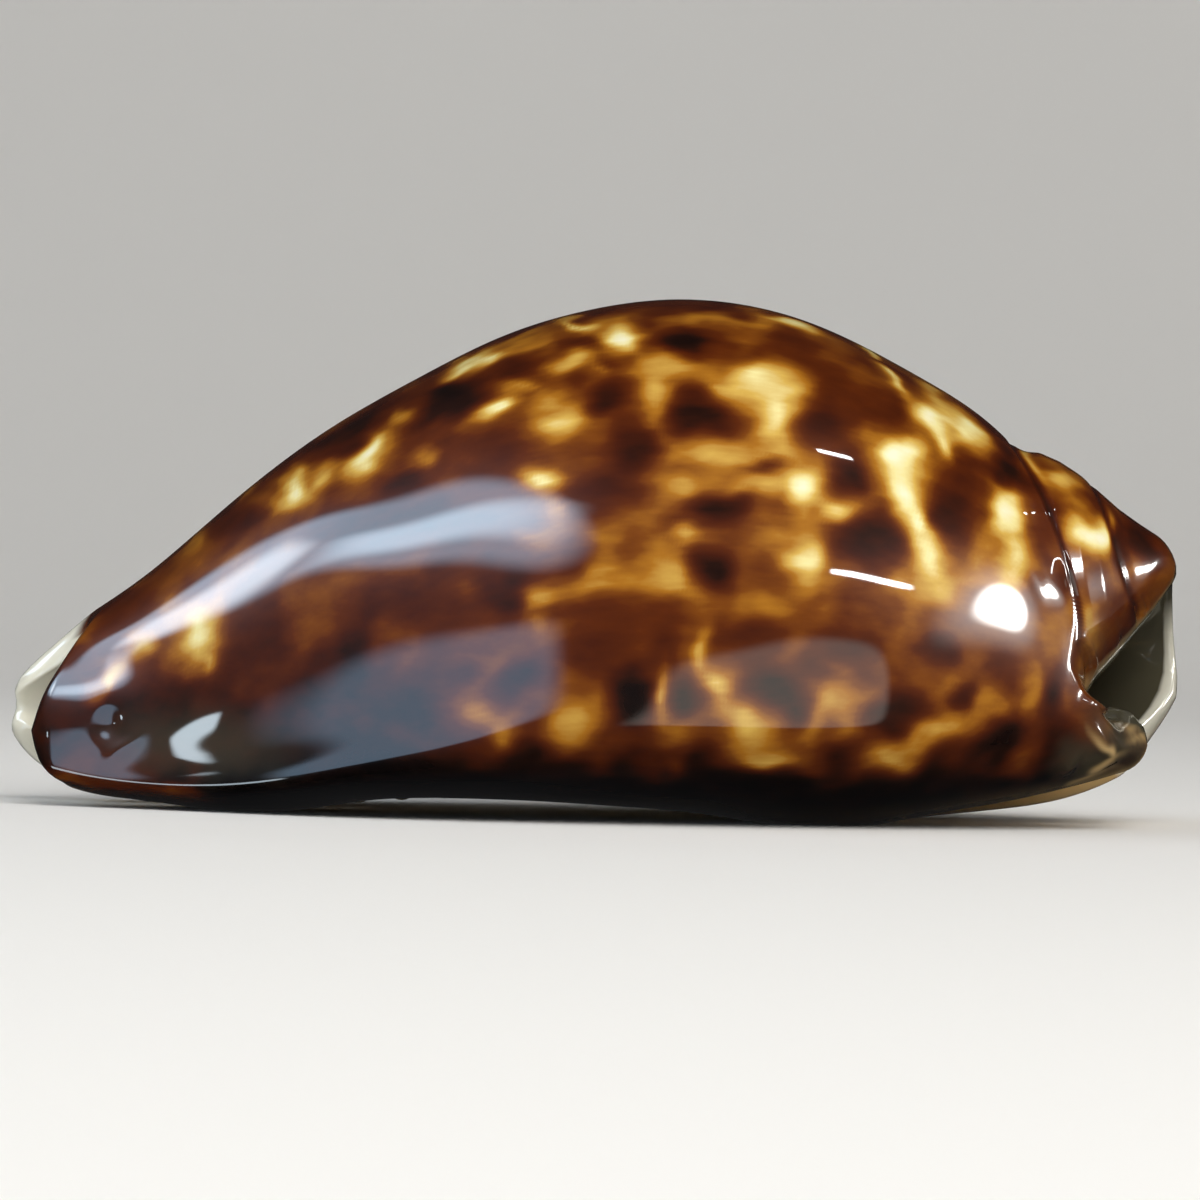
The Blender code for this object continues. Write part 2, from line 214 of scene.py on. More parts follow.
class Wiring:
    """Adds nodes to a tree and joins them, so that a formula reads as one line."""

    def __init__(self, tree: bpy.types.NodeTree) -> None:
        """Keep the tree that the nodes go into."""
        self.tree = tree

    def join(self, value: object, socket: bpy.types.NodeSocket) -> None:
        """Feed a socket from another one, or set it to a constant.

        Args:
            value: The other socket, or the constant.
            socket: The socket that takes it.
        """
        if isinstance(value, bpy.types.NodeSocket):
            self.tree.links.new(value, socket)
        else:
            socket.default_value = value

    def add(self, kind: str, inputs: dict[object, object], result: str,
            **settings: object) -> bpy.types.NodeSocket:
        """Add a node.

        Args:
            kind: Its type.
            inputs: What each input gets, by the input's name or number.
            result: Name of the output that is wanted.
            settings: The node's own settings.

        Returns:
            That output.
        """
        node = self.tree.nodes.new(kind)
        for name, setting in settings.items():
            setattr(node, name, setting)
        for name, value in inputs.items():
            self.join(value, node.inputs[name])
        return node.outputs[result]

    def math(self, operation: str, *values: object) -> bpy.types.NodeSocket:
        """Join sockets and constants with a Math node."""
        return self.add("ShaderNodeMath", dict(enumerate(values)), "Value", operation=operation)


class Waves:
    """Smooth seeded waves in space, for edges and surfaces that are never quite even."""

    def __init__(self, seed: int, length: float, count: int = 24,
                 spread: tuple[float, float] = (0.7, 1.5)) -> None:
        """Draw the waves.

        Args:
            seed: Seed of the draw.
            length: Typical length of a wave, in millimetres.
            count: How many waves are added up.
            spread: Shortest and longest wave, as shares of the typical length.
        """
        draw = np.random.default_rng(seed)
        ways = draw.normal(size=(count, 3))
        ways /= np.linalg.norm(ways, axis=1, keepdims=True)
        self.ways = ways * (2.0 * np.pi / (length * draw.uniform(*spread, size=(count, 1))))
        self.starts = draw.uniform(0.0, 2.0 * np.pi, size=count)
        self.scale = math.sqrt(2.0 / count)

    def read(self, points: Array) -> Array:
        """Add the waves up.

        Args:
            points: The points, in millimetres.

        Returns:
            Their height at each point, about -1 to 1.
        """
        total = np.zeros(points.shape[:-1])
        for way, start in zip(self.ways, self.starts):
            total += np.sin(points @ way + start)
        return total * self.scale


# Measures of the wall's section, one row for each place along X. Left is the columellar side, right the
# labral one: half widths and their heights, margins, base, the slit's middle and half width, the wall's
# thickness, the chamber's floor and roof, and the height of the fold beside the columella
SECTION_FIELDS = ("top", "crown", "left", "right", "edge_left", "edge_right", "margin_left",
                  "margin_right", "base_left", "base_right", "slit", "gap", "wall_left", "wall_right",
                  "floor", "roof", "fold")
SECTION_STATIONS = np.array((
    (-40.5, 9.6, 0.9, 4.8, 5.6, 4.4, 4.6, 3.8, 3.6, 4.0, 3.5, 1.3, 1.7, 1.8, 1.8, 5.4, 7.6, 5.2),
    (-36.5, 12.0, 0.7, 6.6, 7.2, 3.8, 4.0, 2.1, 2.0, 1.6, 1.5, 1.2, 1.9, 2.6, 2.6, 4.4, 9.8, 4.2),
    (-30.5, 16.1, 0.4, 9.6, 10.2, 3.3, 3.6, 1.3, 1.3, 0.5, 0.4, 1.2, 1.9, 3.2, 3.2, 4.2, 13.4, 4.4),
    (-24.5, 21.6, 0.2, 13.2, 13.8, 3.9, 4.2, 1.2, 1.2, -0.15, -0.15, 1.5, 1.7, 3.0, 3.0, 4.4, 18.8, 7.0),
    (-16.5, 27.4, 0.0, 17.4, 17.7, 5.6, 6.0, 2.3, 2.2, 0.75, 0.65, 2.3, 1.5, 2.6, 2.6, 4.8, 24.9, 11.0),
    (-8.0, 32.2, -0.3, 20.2, 20.3, 7.6, 8.0, 3.0, 3.0, 1.2, 1.1, 3.1, 1.3, 2.3, 2.3, 5.4, 29.9, 13.5),
    (0.0, 34.8, -0.5, 21.4, 21.4, 9.0, 9.2, 3.4, 3.3, 1.0, 0.9, 3.6, 1.2, 2.3, 2.3, 5.6, 32.5, 14.5),
    (8.0, 35.25, -0.6, 21.5, 21.6, 9.7, 9.9, 3.6, 3.3, 0.4, 0.3, 3.7, 1.2, 2.3, 2.3, 5.6, 32.9, 14.5),
    (16.0, 33.15, -0.8, 20.4, 20.7, 10.2, 10.4, 3.6, 3.1, -0.15, -0.2, 3.2, 1.2, 2.6, 2.6, 5.6, 30.2, 13.0),
    (22.0, 30.2, -1.2, 18.2, 19.0, 10.2, 10.4, 3.9, 3.0, 0.75, 0.25, 2.3, 1.3, 3.2, 3.0, 5.8, 26.0, 10.0),
    (27.0, 26.7, -2.2, 15.7, 17.0, 9.8, 10.4, 4.3, 3.2, 1.7, 0.8, 1.3, 1.4, 4.4, 3.4, 6.0, 20.5, 7.5),
    (31.0, 22.8, -3.0, 13.2, 14.6, 9.0, 10.0, 4.7, 3.6, 2.7, 1.5, 0.4, 1.6, 6.0, 4.0, 6.2, 16.9, 6.4),
    (35.0, 20.1, -3.4, 9.4, 11.0, 7.6, 9.6, 5.1, 4.8, 3.9, 3.0, -0.4, 1.8, 6.0, 4.0, 6.8, 16.6, 6.6),
    (40.0, 18.2, -3.5, 5.0, 7.4, 6.9, 9.4, 6.0, 6.9, 5.6, 6.2, -1.0, 2.0, 0.8, 1.8, 8.0, 17.2, 7.8),
))


@dataclass
class Section:
    """The C-shaped section of the wall, as points that a closed curve runs through.

    Each side's crest and lip stand off the slit and the base by fixed steps, its flank and shoulder stand
    at angles round a full curve, and the inner points stand at shares of the chamber's width and height.
    """

    flare: tuple[float, float] = (0.94, 0.86)
    flare_fade: tuple[float, float] = (-26.0, 4.0)
    base_share: float = 0.42
    crest: tuple[float, float] = (1.3, 0.15)
    lip_rise: float = 2.2
    flank_angle: float = 27.0
    shoulder_angle: float = 58.0
    fullness: tuple[float, float] = (0.95, 0.97)
    wall_heights: tuple[float, float] = (0.35, 0.82)
    wall_share: float = 0.68
    floor_shares: tuple[float, float] = (0.62, 0.55)
    labral_step: tuple[float, float] = (1.0, 0.4)
    corner_rise: float = 2.0
    corner_pocket: float = 5.0
    fold_step: tuple[float, float] = (1.0, 0.2)
    fold_lean: float = 0.24
    points_round: int = 24
    outer_points: int = 15
    crown: int = 7
    margin_left: int = 3
    first_tip: float = -0.5
    last_tip: float = 14.5
    inner_places: tuple[float, ...] = (14.5, 15.0, 16.0, 17.0, 18.0, 19.0, 20.0, 21.0, 22.0, 23.0, 23.5)
    outer_places: tuple[float, ...] = (14.5, 13.0, 11.3, 9.7, 8.3, 7.0, 6.0, 4.9, 3.6, 1.5, -0.5)

    def partners(self, columns: Array) -> Array:
        """The outer place that each column stands at or behind."""
        return np.where(columns <= self.last_tip, columns,
                        np.interp(columns, self.inner_places, self.outer_places))

    def weights(self, columns: Array) -> Array:
        """Work out how the section's points make up its curve, which is a closed cubic one.

        Args:
            columns: Places round the section.

        Returns:
            Weights of the points, one row for each column.
        """
        count = self.points_round
        identity = np.eye(count)
        around = np.roll(identity, 1, axis=0) + np.roll(identity, -1, axis=0)
        bends = np.linalg.solve(4.0 * identity + around, 6.0 * (around - 2.0 * identity))
        base = np.floor(columns).astype(int)
        right = (columns - base)[:, None]
        left = 1.0 - right
        first, second = base % count, (base + 1) % count
        bend = (left ** 3 - left) * bends[first] + (right ** 3 - right) * bends[second]
        return left * identity[first] + right * identity[second] + bend / 6.0

    def points(self, place: Array) -> Array:
        """Set out the section's points.

        Args:
            place: Places along X, in any shape.

        Returns:
            Y and Z of the points, as (..., point, (Y, Z)).
        """
        values = spline_values(place, SECTION_STATIONS[:, 0], SECTION_STATIONS[:, 1:])
        size = dict(zip(SECTION_FIELDS, np.moveaxis(values, -1, 0)))
        front, rear = self.flare
        size["flare"] = front + (rear - front) * smooth_step(place, *self.flare_fade)
        points = np.zeros(place.shape + (self.points_round, 2))
        for way in (-1.0, 1.0):
            self._put_side(points, size, way)
        points[..., self.crown, 0] = size["crown"]
        points[..., self.crown, 1] = size["top"]
        self._put_inside(points, size)
        return points

    def _put_side(self, points: Array, size: dict[str, Array], way: float) -> None:
        """Set one side's outer points, from its lip up to its shoulder.

        Args:
            points: The section's points, changed in place.
            size: The section's measures at each place.
            way: -1 for the columellar side and 1 for the labral side.
        """
        side = "left" if way < 0.0 else "right"
        order = range(self.crown) if way < 0.0 else range(self.outer_points - 1, self.crown, -1)
        lip, crest, base, margin, edge, flank, shoulder = order
        crown, top = size["crown"], size["top"]
        reach, height = size[side] * way, size["edge_" + side]
        lip_place, level = size["slit"] + size["gap"] * way, size["base_" + side]
        places = {
            edge: (reach, height),
            margin: (reach * size["flare"], size["margin_" + side]),
            base: (lip_place + (reach - lip_place) * self.base_share, level),
            crest: (lip_place + self.crest[0] * way, level + self.crest[1]),
            lip: (lip_place, level + self.lip_rise),
        }
        for index, angle in ((flank, self.flank_angle), (shoulder, self.shoulder_angle)):
            turn = math.radians(angle)
            places[index] = (crown + (reach - crown) * math.cos(turn) ** self.fullness[0],
                             height + (top - height) * math.sin(turn) ** self.fullness[1])
        for index, (across, up) in places.items():
            points[..., index, 0] = across
            points[..., index, 1] = up

    def _put_inside(self, points: Array, size: dict[str, Array]) -> None:
        """Set the points of the inner wall and of the fold where the columella is.

        Args:
            points: The section's points, changed in place.
            size: The section's measures at each place.
        """
        crown, slit, gap = size["crown"], size["slit"], size["gap"]
        floor, roof, fold = size["floor"], size["roof"], size["fold"]
        right, left = size["right"] - size["wall_right"], size["left"] - size["wall_left"]
        middle, upper = (floor + (roof - floor) * share for share in self.wall_heights)
        ridge = (crown + (right - left) * 0.5) * 0.5
        lip = slit - gap
        pocket = left + lip
        most, share = self.fold_step
        fold_place = lip - np.minimum(most, pocket * share) + (fold - floor) * self.fold_lean
        corner = floor + self.corner_rise * np.clip(1.0 - pocket / self.corner_pocket, 0.0, 1.0)
        inner = ((slit + gap + self.labral_step[0], floor - self.labral_step[1]),
                 (slit + (right - slit) * self.floor_shares[0], floor), (right, middle),
                 (ridge + (right - ridge) * self.wall_share, upper), (ridge, roof),
                 (ridge - (left + ridge) * self.wall_share, upper), (-left, middle),
                 (lip - pocket * self.floor_shares[1], corner), (fold_place, fold))
        for index, (across, up) in enumerate(inner, start=self.outer_points):
            points[..., index, 0] = across
            points[..., index, 1] = up


@dataclass
class Spire:
    """Blunt cone on a tilted axis at the posterior end, with the grooves where whorls lap."""

    apex: tuple[float, float, float] = (39.0, -3.5, 18.4)
    tilt: float = 11.0
    depths: tuple[float, ...] = (-1.0, 0.1, 0.83, 2.03, 3.14, 4.28, 5.41, 6.59, 7.83, 9.45, 12.0, 16.0)
    radii: tuple[float, ...] = (0.0, 0.9, 1.8, 2.9, 4.0, 5.4, 6.8, 7.9, 8.7, 9.1, 8.8, 6.0)
    blend: float = 0.9
    reach: tuple[float, float] = (24.0, 27.0)
    cone_columns: tuple[float, float] = (1.0, 13.0)
    suture: tuple[float, ...] = (
        30.0, 30.0, 30.0, 30.0, 31.0, 32.1, 29.5, 27.6, 28.2, 29.4, 30.0, 30.0, 30.0, 30.0, 30.0)
    inner_suture: tuple[float, ...] = (
        37.0, 37.0, 37.0, 37.0, 37.0, 36.8, 34.8, 33.0, 31.6, 30.8, 30.0, 30.0, 30.0, 30.0, 30.0)
    fades: tuple[float, float, float, float] = (4.2, 5.0, 8.0, 8.7)
    groove_width: float = 0.2
    groove_depth: float = 0.11
    inner_groove_depth: float = 0.09

    def line(self, outer: Array, knots: tuple[float, ...]) -> Array:
        """X of a suture at outer places round the section."""
        return spline_values(outer, np.arange(float(len(knots))), np.array(knots))

    def raised(self, grid: Array, columns: Array) -> Array:
        """Push the outer wall out to the cone where the cone stands proud of it.

        Args:
            grid: The wall's points, in millimetres.
            columns: Places of its columns.

        Returns:
            The wall's new points.
        """
        lean = math.radians(self.tilt)
        axis = np.array((math.cos(lean), 0.0, math.sin(lean)))
        offset = grid - np.array(self.apex)
        depth = -offset @ axis
        spoke = offset + depth[..., None] * axis
        radius = np.maximum(np.linalg.norm(spoke, axis=-1), 1e-6)
        target = np.interp(depth, self.depths, self.radii)
        raised = smooth_largest(radius, target, self.blend)
        first, last = self.cone_columns
        outer = (columns > first) & (columns < last)
        push = np.where(outer, (raised - radius) * smooth_step(grid[..., 0], *self.reach), 0.0)
        return grid + spoke * (push / radius)[..., None]

    def seams(self, grid: Array, columns: Array, outer: Array, width: float) -> tuple[Array, Array]:
        """How near each point lies to the suture and to the inner suture.

        Args:
            grid: The wall's points, in millimetres.
            columns: Places of its columns.
            outer: Places on the outer wall that the columns stand behind.
            width: Half width of a seam, in millimetres.

        Returns:
            Weights from 0 away from a suture to 1 on it, for the one and for the other.
        """
        on_spire = band(columns, *self.fades)
        first, second = (np.exp(-((grid[..., 0] - self.line(outer, knots)) / width) ** 2) * on_spire
                         for knots in (self.suture, self.inner_suture))
        return first, second

    def grooved(self, grid: Array, columns: Array, outer: Array) -> Array:
        """Press the two grooves where a whorl laps on the one before it.

        Args:
            grid: The wall's points, in millimetres.
            columns: Places of its columns.
            outer: Places on the outer wall that the columns stand behind.

        Returns:
            The wall's new points.
        """
        first, second = self.seams(grid, columns, outer, self.groove_width)
        depth = first * self.groove_depth + second * self.inner_groove_depth
        return grid - outward(grid) * depth[..., None]


@dataclass
class Relief:
    """Small forms of the columellar side: the front bulb, its dimple and the folds of the callus."""

    swellings: Table = (
        (-34.6, 5.4, 3.2, 2.8, 0.3),
        (-33.0, 9.8, 4.2, 1.6, -0.12),
        (33.4, 7.6, 1.6, 2.0, 0.4),
        (-33.0, 5.6, 0.95, 1.1, -0.32),
        (-32.0, 4.0, 1.2, 0.5, 0.16, 40.0),
        (32.9, 8.7, 0.6, 0.9, 0.42, -15.0),
        (35.3, 7.9, 1.5, 0.5, 0.5, -58.0),
        (33.8, 6.2, 1.2, 0.45, 0.42, -50.0),
        (33.6, 4.1, 1.8, 0.5, 0.36, 35.0),
        (36.6, 6.4, 0.7, 0.5, 0.4),
        (31.7, 4.4, 0.8, 0.5, 0.38, 55.0),
    )
    wander: float = 0.05
    wander_length: float = 12.0
    wander_seed: int = 11
    wander_columns: tuple[float, float, float, float] = (1.0, 2.0, 12.0, 13.0)

    def shaped(self, grid: Array, columns: Array, section: Section) -> Array:
        """Raise the swellings on the columellar side and let the outer surface wander a little.

        Args:
            grid: The wall's points, in millimetres.
            columns: Places of its columns.
            section: The wall's section.

        Returns:
            The wall's new points.
        """
        spots = [Spot(*values) for values in self.swellings]
        height = sum(spot.value * spot.glow(grid) for spot in spots)
        margin = float(section.margin_left)
        height = height * smooth_step(columns, margin - 1.0, margin) * (columns < section.crown)
        outer = band(columns, *self.wander_columns)
        height += self.wander * Waves(self.wander_seed, self.wander_length).read(grid) * outer
        return grid + outward(grid) * height[..., None]


@dataclass
class ShellWall:
    """The whole wall of the shell, as one closed loft."""

    section: Section = field(default_factory=Section)
    spire: Spire = field(default_factory=Spire)
    relief: Relief = field(default_factory=Relief)
    anterior_end: tuple[tuple[float, float], ...] = (
        (0.0, -35.0), (1.0, -35.4), (2.0, -35.9), (3.0, -36.5), (4.0, -36.9), (5.0, -36.8), (6.0, -35.0),
        (7.0, -34.3), (8.0, -38.5), (9.0, -39.2), (10.0, -39.1), (11.0, -38.5), (12.0, -37.4),
        (13.0, -36.4), (14.0, -35.9))
    posterior_end: tuple[tuple[float, float], ...] = (
        (0.0, 34.7), (1.0, 35.5), (2.0, 36.0), (3.0, 35.6), (3.8, 34.2), (4.4, 31.6), (5.0, 33.4),
        (5.5, 35.6), (6.0, 37.0), (7.0, 38.0), (8.0, 38.6), (9.0, 38.9), (10.0, 38.9), (11.0, 37.7),
        (12.0, 36.4), (13.0, 35.6), (14.0, 35.1))
    row_knots: tuple[float, ...] = (-36.0, -18.0, 14.0, 30.0, 36.0)
    row_stretches: tuple[tuple[float, int], ...] = (
        (-36.0, 36), (-30.0, 166), (18.0, 38), (28.0, 38), (33.0, 26))
    column_stretches: tuple[tuple[float, int], ...] = (
        (-0.5, 20), (1.5, 42), (4.0, 100), (8.0, 58), (12.5, 20))
    last_stretch: float = 2.4
    inner_columns: int = 30
    tooth_count: int = 21
    end_share: float = 1.75
    rim_reach: float = 1.6
    rim_fullness: float = 0.75
    tip_reach: float = 0.3
    rim_angles: tuple[float, ...] = (12.0, 25.0, 38.0, 52.0, 66.0, 79.0)

    def rows(self) -> Array:
        """Place the rows before they bend to the ends, closer together where the form is finer.

        Returns:
            Their places, rising.
        """
        starts = [start for start, _ in self.row_stretches] + [self.row_knots[-1]]
        rows: list[float] = []
        for (start, count), end in zip(self.row_stretches, starts[1:]):
            rows.extend(np.linspace(start, end, count, endpoint=False))
        return np.array(rows + [self.row_knots[-1]])

    def columns(self) -> Array:
        """Place the columns round the section, closer together where the markings need it.

        Returns:
            Their places, rising.
        """
        last_tip = self.section.last_tip
        starts = [start for start, _ in self.column_stretches] + [last_tip]
        columns: list[float] = []
        for (start, count), end in zip(self.column_stretches, starts[1:]):
            columns.extend(np.linspace(start, end, count, endpoint=False))
        last = self.section.inner_places[-1]
        columns.extend(np.linspace(last_tip, last, self.inner_columns, endpoint=False))
        return np.array(columns)

    def tooth_phase(self, rows: Array) -> Array:
        """Count of ridges from the first one at each row, with end_share of them left out at both ends."""
        share = (rows - self.row_knots[0]) / (self.row_knots[-1] - self.row_knots[0])
        return share * (self.tooth_count + 2.0 * self.end_share) - self.end_share

    def lay(self, rows: Array, columns: Array) -> Array:
        """Lay the loft's points out.

        Args:
            rows: Places along the shell, before they bend to its ends and to the suture.
            columns: Places round its section.

        Returns:
            The points, as (row, column, (X, Y, Z)).
        """
        outer = self.section.partners(columns)
        front = spline_values(outer, *np.array(self.anterior_end).T)
        rear = spline_values(outer, *np.array(self.posterior_end).T)
        suture = np.minimum(self.spire.line(outer, self.spire.suture), rear - self.last_stretch)
        place = np.empty((len(rows), len(columns)))
        for index in range(len(columns)):
            bends = (front[index], self.row_knots[1], self.row_knots[2], suture[index], rear[index])
            place[:, index] = np.interp(rows, self.row_knots, bends)
        points = self.section.points(place)
        across = np.einsum("ijkc,jk->ijc", points, self.section.weights(columns))
        return np.concatenate((place[..., None], across), axis=-1)

    def rim(self, grid: Array, columns: Array, end: End) -> list[Array]:
        """Rings that round one end of the wall off, from the full wall to its middle.

        Args:
            grid: The loft's points.
            columns: Places of its columns.
            end: The end to round off.

        Returns:
            The rings, in order out from the wall.
        """
        ring, inside = (grid[-1], grid[-2]) if end is End.POSTERIOR else (grid[0], grid[1])
        outer = self.section.partners(columns)
        is_outer = columns <= self.section.last_tip
        tip = int(np.argmin(np.abs(columns - self.section.last_tip)))
        outer_ring = np.vstack((ring[is_outer], ring[tip]))
        outer_place = np.append(columns[is_outer], self.section.last_tip)
        inner_ring = np.vstack((ring[~is_outer], ring[:1]))
        inner_place = np.append(outer[~is_outer], self.section.first_tip)
        step = ring - inside
        step /= np.linalg.norm(step, axis=-1, keepdims=True)
        step_outer = np.vstack((step[is_outer], step[tip]))
        middle, heading = np.empty_like(ring), np.empty_like(ring)
        for axis in range(3):
            near = np.interp(outer, outer_place, outer_ring[:, axis])
            far = np.interp(outer, inner_place[::-1], inner_ring[::-1, axis])
            middle[:, axis] = 0.5 * (near + far)
            heading[:, axis] = np.interp(outer, outer_place, step_outer[:, axis])
        half = ring - middle
        thickness = np.linalg.norm(half, axis=-1, keepdims=True)
        reach = np.minimum(self.rim_reach, self.tip_reach + thickness * self.rim_fullness)
        rings = []
        for angle in map(math.radians, self.rim_angles):
            rings.append(middle + half * math.cos(angle) + heading * reach * math.sin(angle))
        return rings

    def cap(self, columns: Array, first: int, end: End) -> list[tuple[int, ...]]:
        """Triangles that close the narrow C left inside the last ring of an end.

        Args:
            columns: Places of the columns.
            first: Index of the ring's first point.
            end: The end that is closed.

        Returns:
            The triangles' point indices.
        """
        split = int(np.argmax(columns >= self.section.last_tip))
        outer = list(range(split + 1))
        inner = [0] + list(range(len(columns) - 1, split - 1, -1))
        places = self.section.partners(columns)
        places[0] = self.section.first_tip
        faces = []
        near, far = 0, 0
        while near < len(outer) - 1 or far < len(inner) - 1:
            step_near = far == len(inner) - 1 or (
                near < len(outer) - 1 and places[outer[near + 1]] <= places[inner[far + 1]])
            if step_near:
                face = (outer[near], outer[near + 1], inner[far])
                near += 1
            else:
                face = (outer[near], inner[far + 1], inner[far])
                far += 1
            if len(set(face)) == 3:
                turned = face[::-1] if end is End.POSTERIOR else face
                faces.append(tuple(first + index for index in turned))
        return faces

    def settled(self, grid: Array) -> Array:
        """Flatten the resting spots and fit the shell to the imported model's place and length.

        Args:
            grid: The wall's points, in millimetres.

        Returns:
            The points, in metres.
        """
        grid[..., 2] = np.maximum(grid[..., 2], 0.0)
        low, high = grid.min(axis=(0, 1)), grid.max(axis=(0, 1))
        cad_low, cad_high = (np.array(corner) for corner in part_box(NODE))
        scale = (cad_high[0] - cad_low[0]) / (high[0] - low[0])
        shift = 0.5 * (cad_low + cad_high) - 0.5 * (low + high) * scale
        shift[2] = cad_low[2]
        return grid * scale + shift

    def build(self) -> tuple[bpy.types.Object, Array, Array, Array]:
        """Make the wall as a mesh object.

        Returns:
            The object, its points in millimetres as a grid, and the rows and columns of the grid.
        """
        rows, columns = self.rows(), self.columns()
        grid = self.lay(rows, columns)
        grid = self.spire.raised(grid, columns)
        grid = self.spire.grooved(grid, columns, self.section.partners(columns))
        grid = self.relief.shaped(grid, columns, self.section)
        front = self.rim(grid, columns, End.ANTERIOR)
        rear = self.rim(grid, columns, End.POSTERIOR)
        grid = np.concatenate((np.array(front[::-1]), grid, np.array(rear)))
        extra = len(self.rim_angles)
        rows = np.concatenate((np.full(extra, rows[0]), rows, np.full(extra, rows[-1])))
        row_count, column_count = grid.shape[:2]
        here = np.arange(row_count * column_count).reshape(row_count, column_count)
        there = np.roll(here, -1, axis=1)
        quads = np.stack((here[:-1], here[1:], there[1:], there[:-1]), axis=-1).reshape(-1, 4)
        faces = [tuple(quad) for quad in quads.tolist()]
        faces += self.cap(columns, 0, End.ANTERIOR)
        faces += self.cap(columns, (row_count - 1) * column_count, End.POSTERIOR)
        placed = self.settled(grid)
        mesh = bpy.data.meshes.new("cowry_wall")
        mesh.from_pydata(placed.reshape(-1, 3).tolist(), [], faces)
        mesh.update()
        wall = bpy.data.objects.new("cowry_shell", mesh)
        bpy.context.scene.collection.objects.link(wall)
        return wall, placed / MM, rows, columns


@dataclass
class LipRidges:
    """The ridges that cross both lips of the slit, raised by a node tree that repeats one wave."""

    labral_height: float = 0.7 * MM
    columellar_height: float = 0.45 * MM
    sharpness: float = 1.3
    labral_columns: tuple[float, float] = (13.1, 14.0)
    columellar_columns: tuple[float, float] = (0.6, 1.6)
    spare: float = 0.5
    rear_loss: float = 0.8
    rear_phase: tuple[float, float] = (5.0, 9.0)
    inputs: tuple[str, ...] = ("Labral height", "Columellar height", "Sharpness")

    def weights(self, wall: ShellWall, rows: Array, columns: Array) -> dict[Mark, Array]:
        """Say where the ridges are and how strongly each lip carries them.

        Args:
            wall: The wall, for its count of ridges and its section.
            rows: Places of the grid's rows.
            columns: Places of its columns.

        Returns:
            The values, by attribute.
        """
        phase = wall.tooth_phase(rows)
        inside = (phase >= -self.spare) & (phase <= wall.tooth_count + self.spare)
        labral = smooth_step(columns, *self.labral_columns) * (columns <= wall.section.last_tip)
        columellar = 1.0 - smooth_step(columns, *self.columellar_columns)
        front_only = 1.0 - self.rear_loss * smooth_step(phase, *self.rear_phase)
        return {
            Mark.PHASE: np.repeat(phase[:, None], len(columns), axis=1),
            Mark.LABRAL: inside[:, None] * labral,
            Mark.COLUMELLAR: (inside * front_only)[:, None] * columellar,
        }

    def tree(self, material: bpy.types.Material) -> bpy.types.GeometryNodeTree:
        """Build the node tree that raises the ridges and gives the enamel to the result.

        Args:
            material: The enamel.

        Returns:
            The tree, with the heights and the sharpness as its inputs.
        """
        tree = bpy.data.node_groups.new("lip ridges", "GeometryNodeTree")
        tree.interface.new_socket("Geometry", in_out="INPUT", socket_type="NodeSocketGeometry")
        for name in self.inputs:
            tree.interface.new_socket(name, in_out="INPUT", socket_type="NodeSocketFloat")
        tree.interface.new_socket("Geometry", in_out="OUTPUT", socket_type="NodeSocketGeometry")
        source = tree.nodes.new("NodeGroupInput")
        target = tree.nodes.new("NodeGroupOutput")
        wires = Wiring(tree)
        phase, on_labral, on_columellar = (
            wires.add("GeometryNodeInputNamedAttribute", {"Name": mark.value}, "Attribute",
                      data_type="FLOAT")
            for mark in (Mark.PHASE, Mark.LABRAL, Mark.COLUMELLAR))
        labral_height, columellar_height, sharpness = (source.outputs[name] for name in self.inputs)
        turn = wires.math("MULTIPLY", phase, 2.0 * math.pi)
        wave = wires.math("MULTIPLY_ADD", wires.math("COSINE", turn), 0.5, 0.5)
        crest = wires.math("POWER", wave, sharpness)
        labral = wires.math("MULTIPLY", on_labral, labral_height)
        columellar = wires.math("MULTIPLY", on_columellar, columellar_height)
        height = wires.math("MULTIPLY", crest, wires.math("ADD", labral, columellar))
        normal = wires.add("GeometryNodeInputNormal", {}, "Normal")
        offset = wires.add("ShaderNodeVectorMath", {0: normal, "Scale": height}, "Vector", operation="SCALE")
        raised = wires.add("GeometryNodeSetPosition",
                           {"Geometry": source.outputs["Geometry"], "Offset": offset}, "Geometry")
        real = wires.add("GeometryNodeRealizeInstances", {"Geometry": raised}, "Geometry")
        dressed = wires.add("GeometryNodeSetMaterial", {"Geometry": real, "Material": material}, "Geometry")
        wires.join(dressed, target.inputs["Geometry"])
        return tree

    def raise_on(self, wall: bpy.types.Object, material: bpy.types.Material) -> bpy.types.Object:
        """Run the tree on the wall, and keep the result as a plain mesh that stays above the floor.

        Args:
            wall: The wall's object.
            material: The enamel.

        Returns:
            The same object, with its new mesh.
        """
        tree = self.tree(material)
        modifier = wall.modifiers.new("ridges", "NODES")
        modifier.node_group = tree
        sizes = dict(zip(self.inputs, (self.labral_height, self.columellar_height, self.sharpness)))
        for item in tree.interface.items_tree:
            if item.in_out == "INPUT" and item.name in sizes:
                modifier[item.identifier] = sizes[item.name]
        bpy.context.view_layer.update()
        evaluated = wall.evaluated_get(bpy.context.evaluated_depsgraph_get())
        mesh = bpy.data.meshes.new_from_object(evaluated)
        wall.modifiers.remove(modifier)
        old = wall.data
        wall.data = mesh
        bpy.data.meshes.remove(old)
        places = np.empty(3 * len(mesh.vertices))
        mesh.vertices.foreach_get("co", places)
        places[2::3] = np.maximum(places[2::3], 0.0)
        mesh.vertices.foreach_set("co", places)
        mesh.shade_smooth()
        return wall


